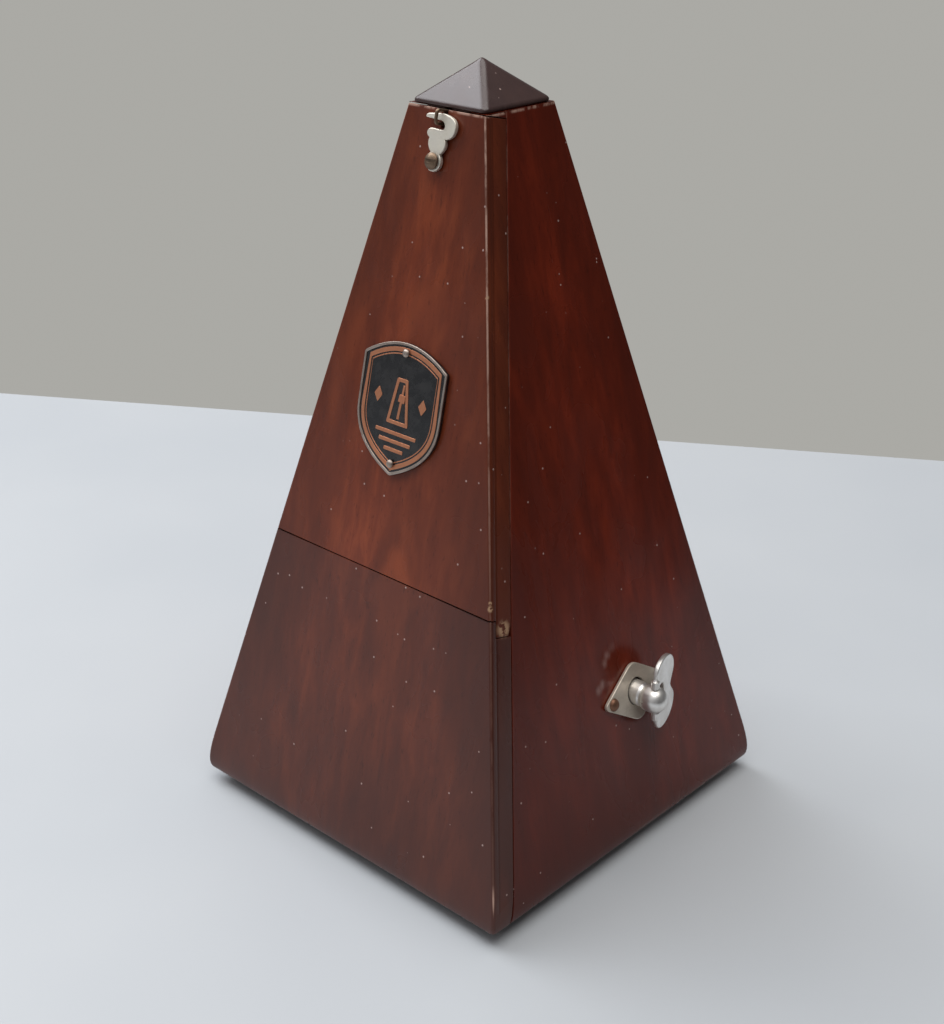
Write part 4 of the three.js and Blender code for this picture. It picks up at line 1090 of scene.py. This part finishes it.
# ---------------------------------------------------------------- floor, light and camera
def stage():
    """Pale table whose back edge runs past the object, with the wall's grey beyond it."""
    look = Look("table")
    cloud = look.noise(look.place, 6, 3, 0.5)
    fine = look.noise(look.place, 900, 2, 0.6)
    color = look.mix(look.ease(cloud, 0.3, 0.7, 0.0, 1.0), (0.47, 0.487, 0.505), (0.44, 0.46, 0.482))
    look.set(color=color, roughness=0.55)
    look.bump(fine, 0.08, 0.0002)
    edge = Vector((-0.4036, 0.0818, -0.0001))
    along, across = Vector((0.848, 0.53, 0)), Vector((0.53, -0.848, 0))
    right_end = 0.27
    near_right = Vector((right_end, -4, edge.z))
    far_right = edge + along * (right_end - edge.x) / along.x
    far_left = edge - along * 3.2
    corners = [far_left, far_left + across * 4, near_right, far_right]
    mesh = bpy.data.meshes.new("table")
    mesh.from_pydata(corners, [], [(0, 1, 2, 3)])
    mesh.materials.append(look.material)
    new_piece("table", mesh)


def softbox(name, place, aim, size, power, color):
    """Rectangular studio light at a place, aimed at a point."""
    light = bpy.data.lights.new(name, "AREA")
    light.shape = "RECTANGLE"
    light.size, light.size_y = size
    light.energy = power
    light.color = color
    holder = bpy.data.objects.new(name, light)
    bpy.context.scene.collection.objects.link(holder)
    holder.location = place
    holder.rotation_euler = (Vector(aim) - Vector(place)).to_track_quat("-Z", "Y").to_euler()


# Light of the room by height of the direction, and the grey of the wall in view.
ROOM_LIGHT = [
    (0.0, (0.26, 0.26, 0.265)),
    (0.15, (0.24, 0.24, 0.245)),
    (0.4, (0.5, 0.505, 0.52)),
    (0.85, (0.74, 0.75, 0.78)),
]
WALL_GREY = (0.405, 0.4, 0.375, 1)


def room():
    """Grey wall in view; the room that lights the object is dark at the right and back."""
    world = bpy.data.worlds.new("room")
    bpy.context.scene.world = world
    world.use_nodes = True
    nodes, link = world.node_tree.nodes, world.node_tree.links.new
    direction = nodes.new("ShaderNodeTexCoord").outputs["Generated"]
    split = nodes.new("ShaderNodeSeparateXYZ")
    link(direction, split.inputs[0])
    climb = nodes.new("ShaderNodeValToRGB")
    link(split.outputs["Z"], climb.inputs[0])
    bands = climb.color_ramp.elements
    while len(bands) < len(ROOM_LIGHT):
        bands.new(0.5)
    for band, (height, color) in zip(bands, ROOM_LIGHT):
        band.position = height
        band.color = (*color, 1)
    side = nodes.new("ShaderNodeVectorMath")
    side.operation = "DOT_PRODUCT"
    link(direction, side.inputs[0])
    side.inputs[1].default_value = (-0.7, -0.7, 0)
    share = nodes.new("ShaderNodeMapRange")
    for socket, number in zip(list(share.inputs)[1:5], (-0.6, 0.6, 0.2, 1.0)):
        socket.default_value = number
    link(side.outputs["Value"], share.inputs[0])
    shaded = nodes.new("ShaderNodeVectorMath")
    shaded.operation = "SCALE"
    link(climb.outputs[0], shaded.inputs[0])
    link(share.outputs[0], shaded.inputs["Scale"])
    seen = nodes.new("ShaderNodeMix")
    seen.data_type = "RGBA"
    link(nodes.new("ShaderNodeLightPath").outputs["Is Camera Ray"], seen.inputs[0])
    link(shaded.outputs[0], seen.inputs[6])
    seen.inputs[7].default_value = WALL_GREY
    link(seen.outputs[2], nodes["Background"].inputs[0])


def lighting():
    room()
    softbox("window", (-1.0, -0.15, 1.25), (0, 0, 0.08), (1.2, 1.1), 18, (0.93, 0.96, 1.0))
    softbox("ceiling", (0.2, -0.05, 1.6), (0, 0, 0), (1.5, 1.5), 19, (1.0, 0.985, 0.96))


def camera():
    """Camera at the photograph's angle and distance."""
    azimuth, elevation, roll = math.radians(42.53), math.radians(22.55), math.radians(0.15)
    distance, aim_height = 0.4662, 110
    level = math.cos(elevation)
    back = Vector((math.sin(azimuth) * level, -math.cos(azimuth) * level, math.sin(elevation)))
    view = bpy.data.cameras.new("view")
    view.sensor_fit = "HORIZONTAL"
    view.sensor_width = 36
    view.lens = 61.97
    view.shift_x = -0.0096
    view.shift_y = -0.07005
    view.clip_start = 0.01
    holder = bpy.data.objects.new("view", view)
    bpy.context.scene.collection.objects.link(holder)
    turn = (-back).to_track_quat("-Z", "Y").to_matrix().to_4x4()
    place = Matrix.Translation(metres(0, 0, aim_height) + back * distance)
    holder.matrix_world = place @ turn @ Matrix.Rotation(roll, 4, "Z")
    bpy.context.scene.camera = holder


stage()
lighting()
camera()
bpy.context.scene.view_settings.view_transform = "Standard"
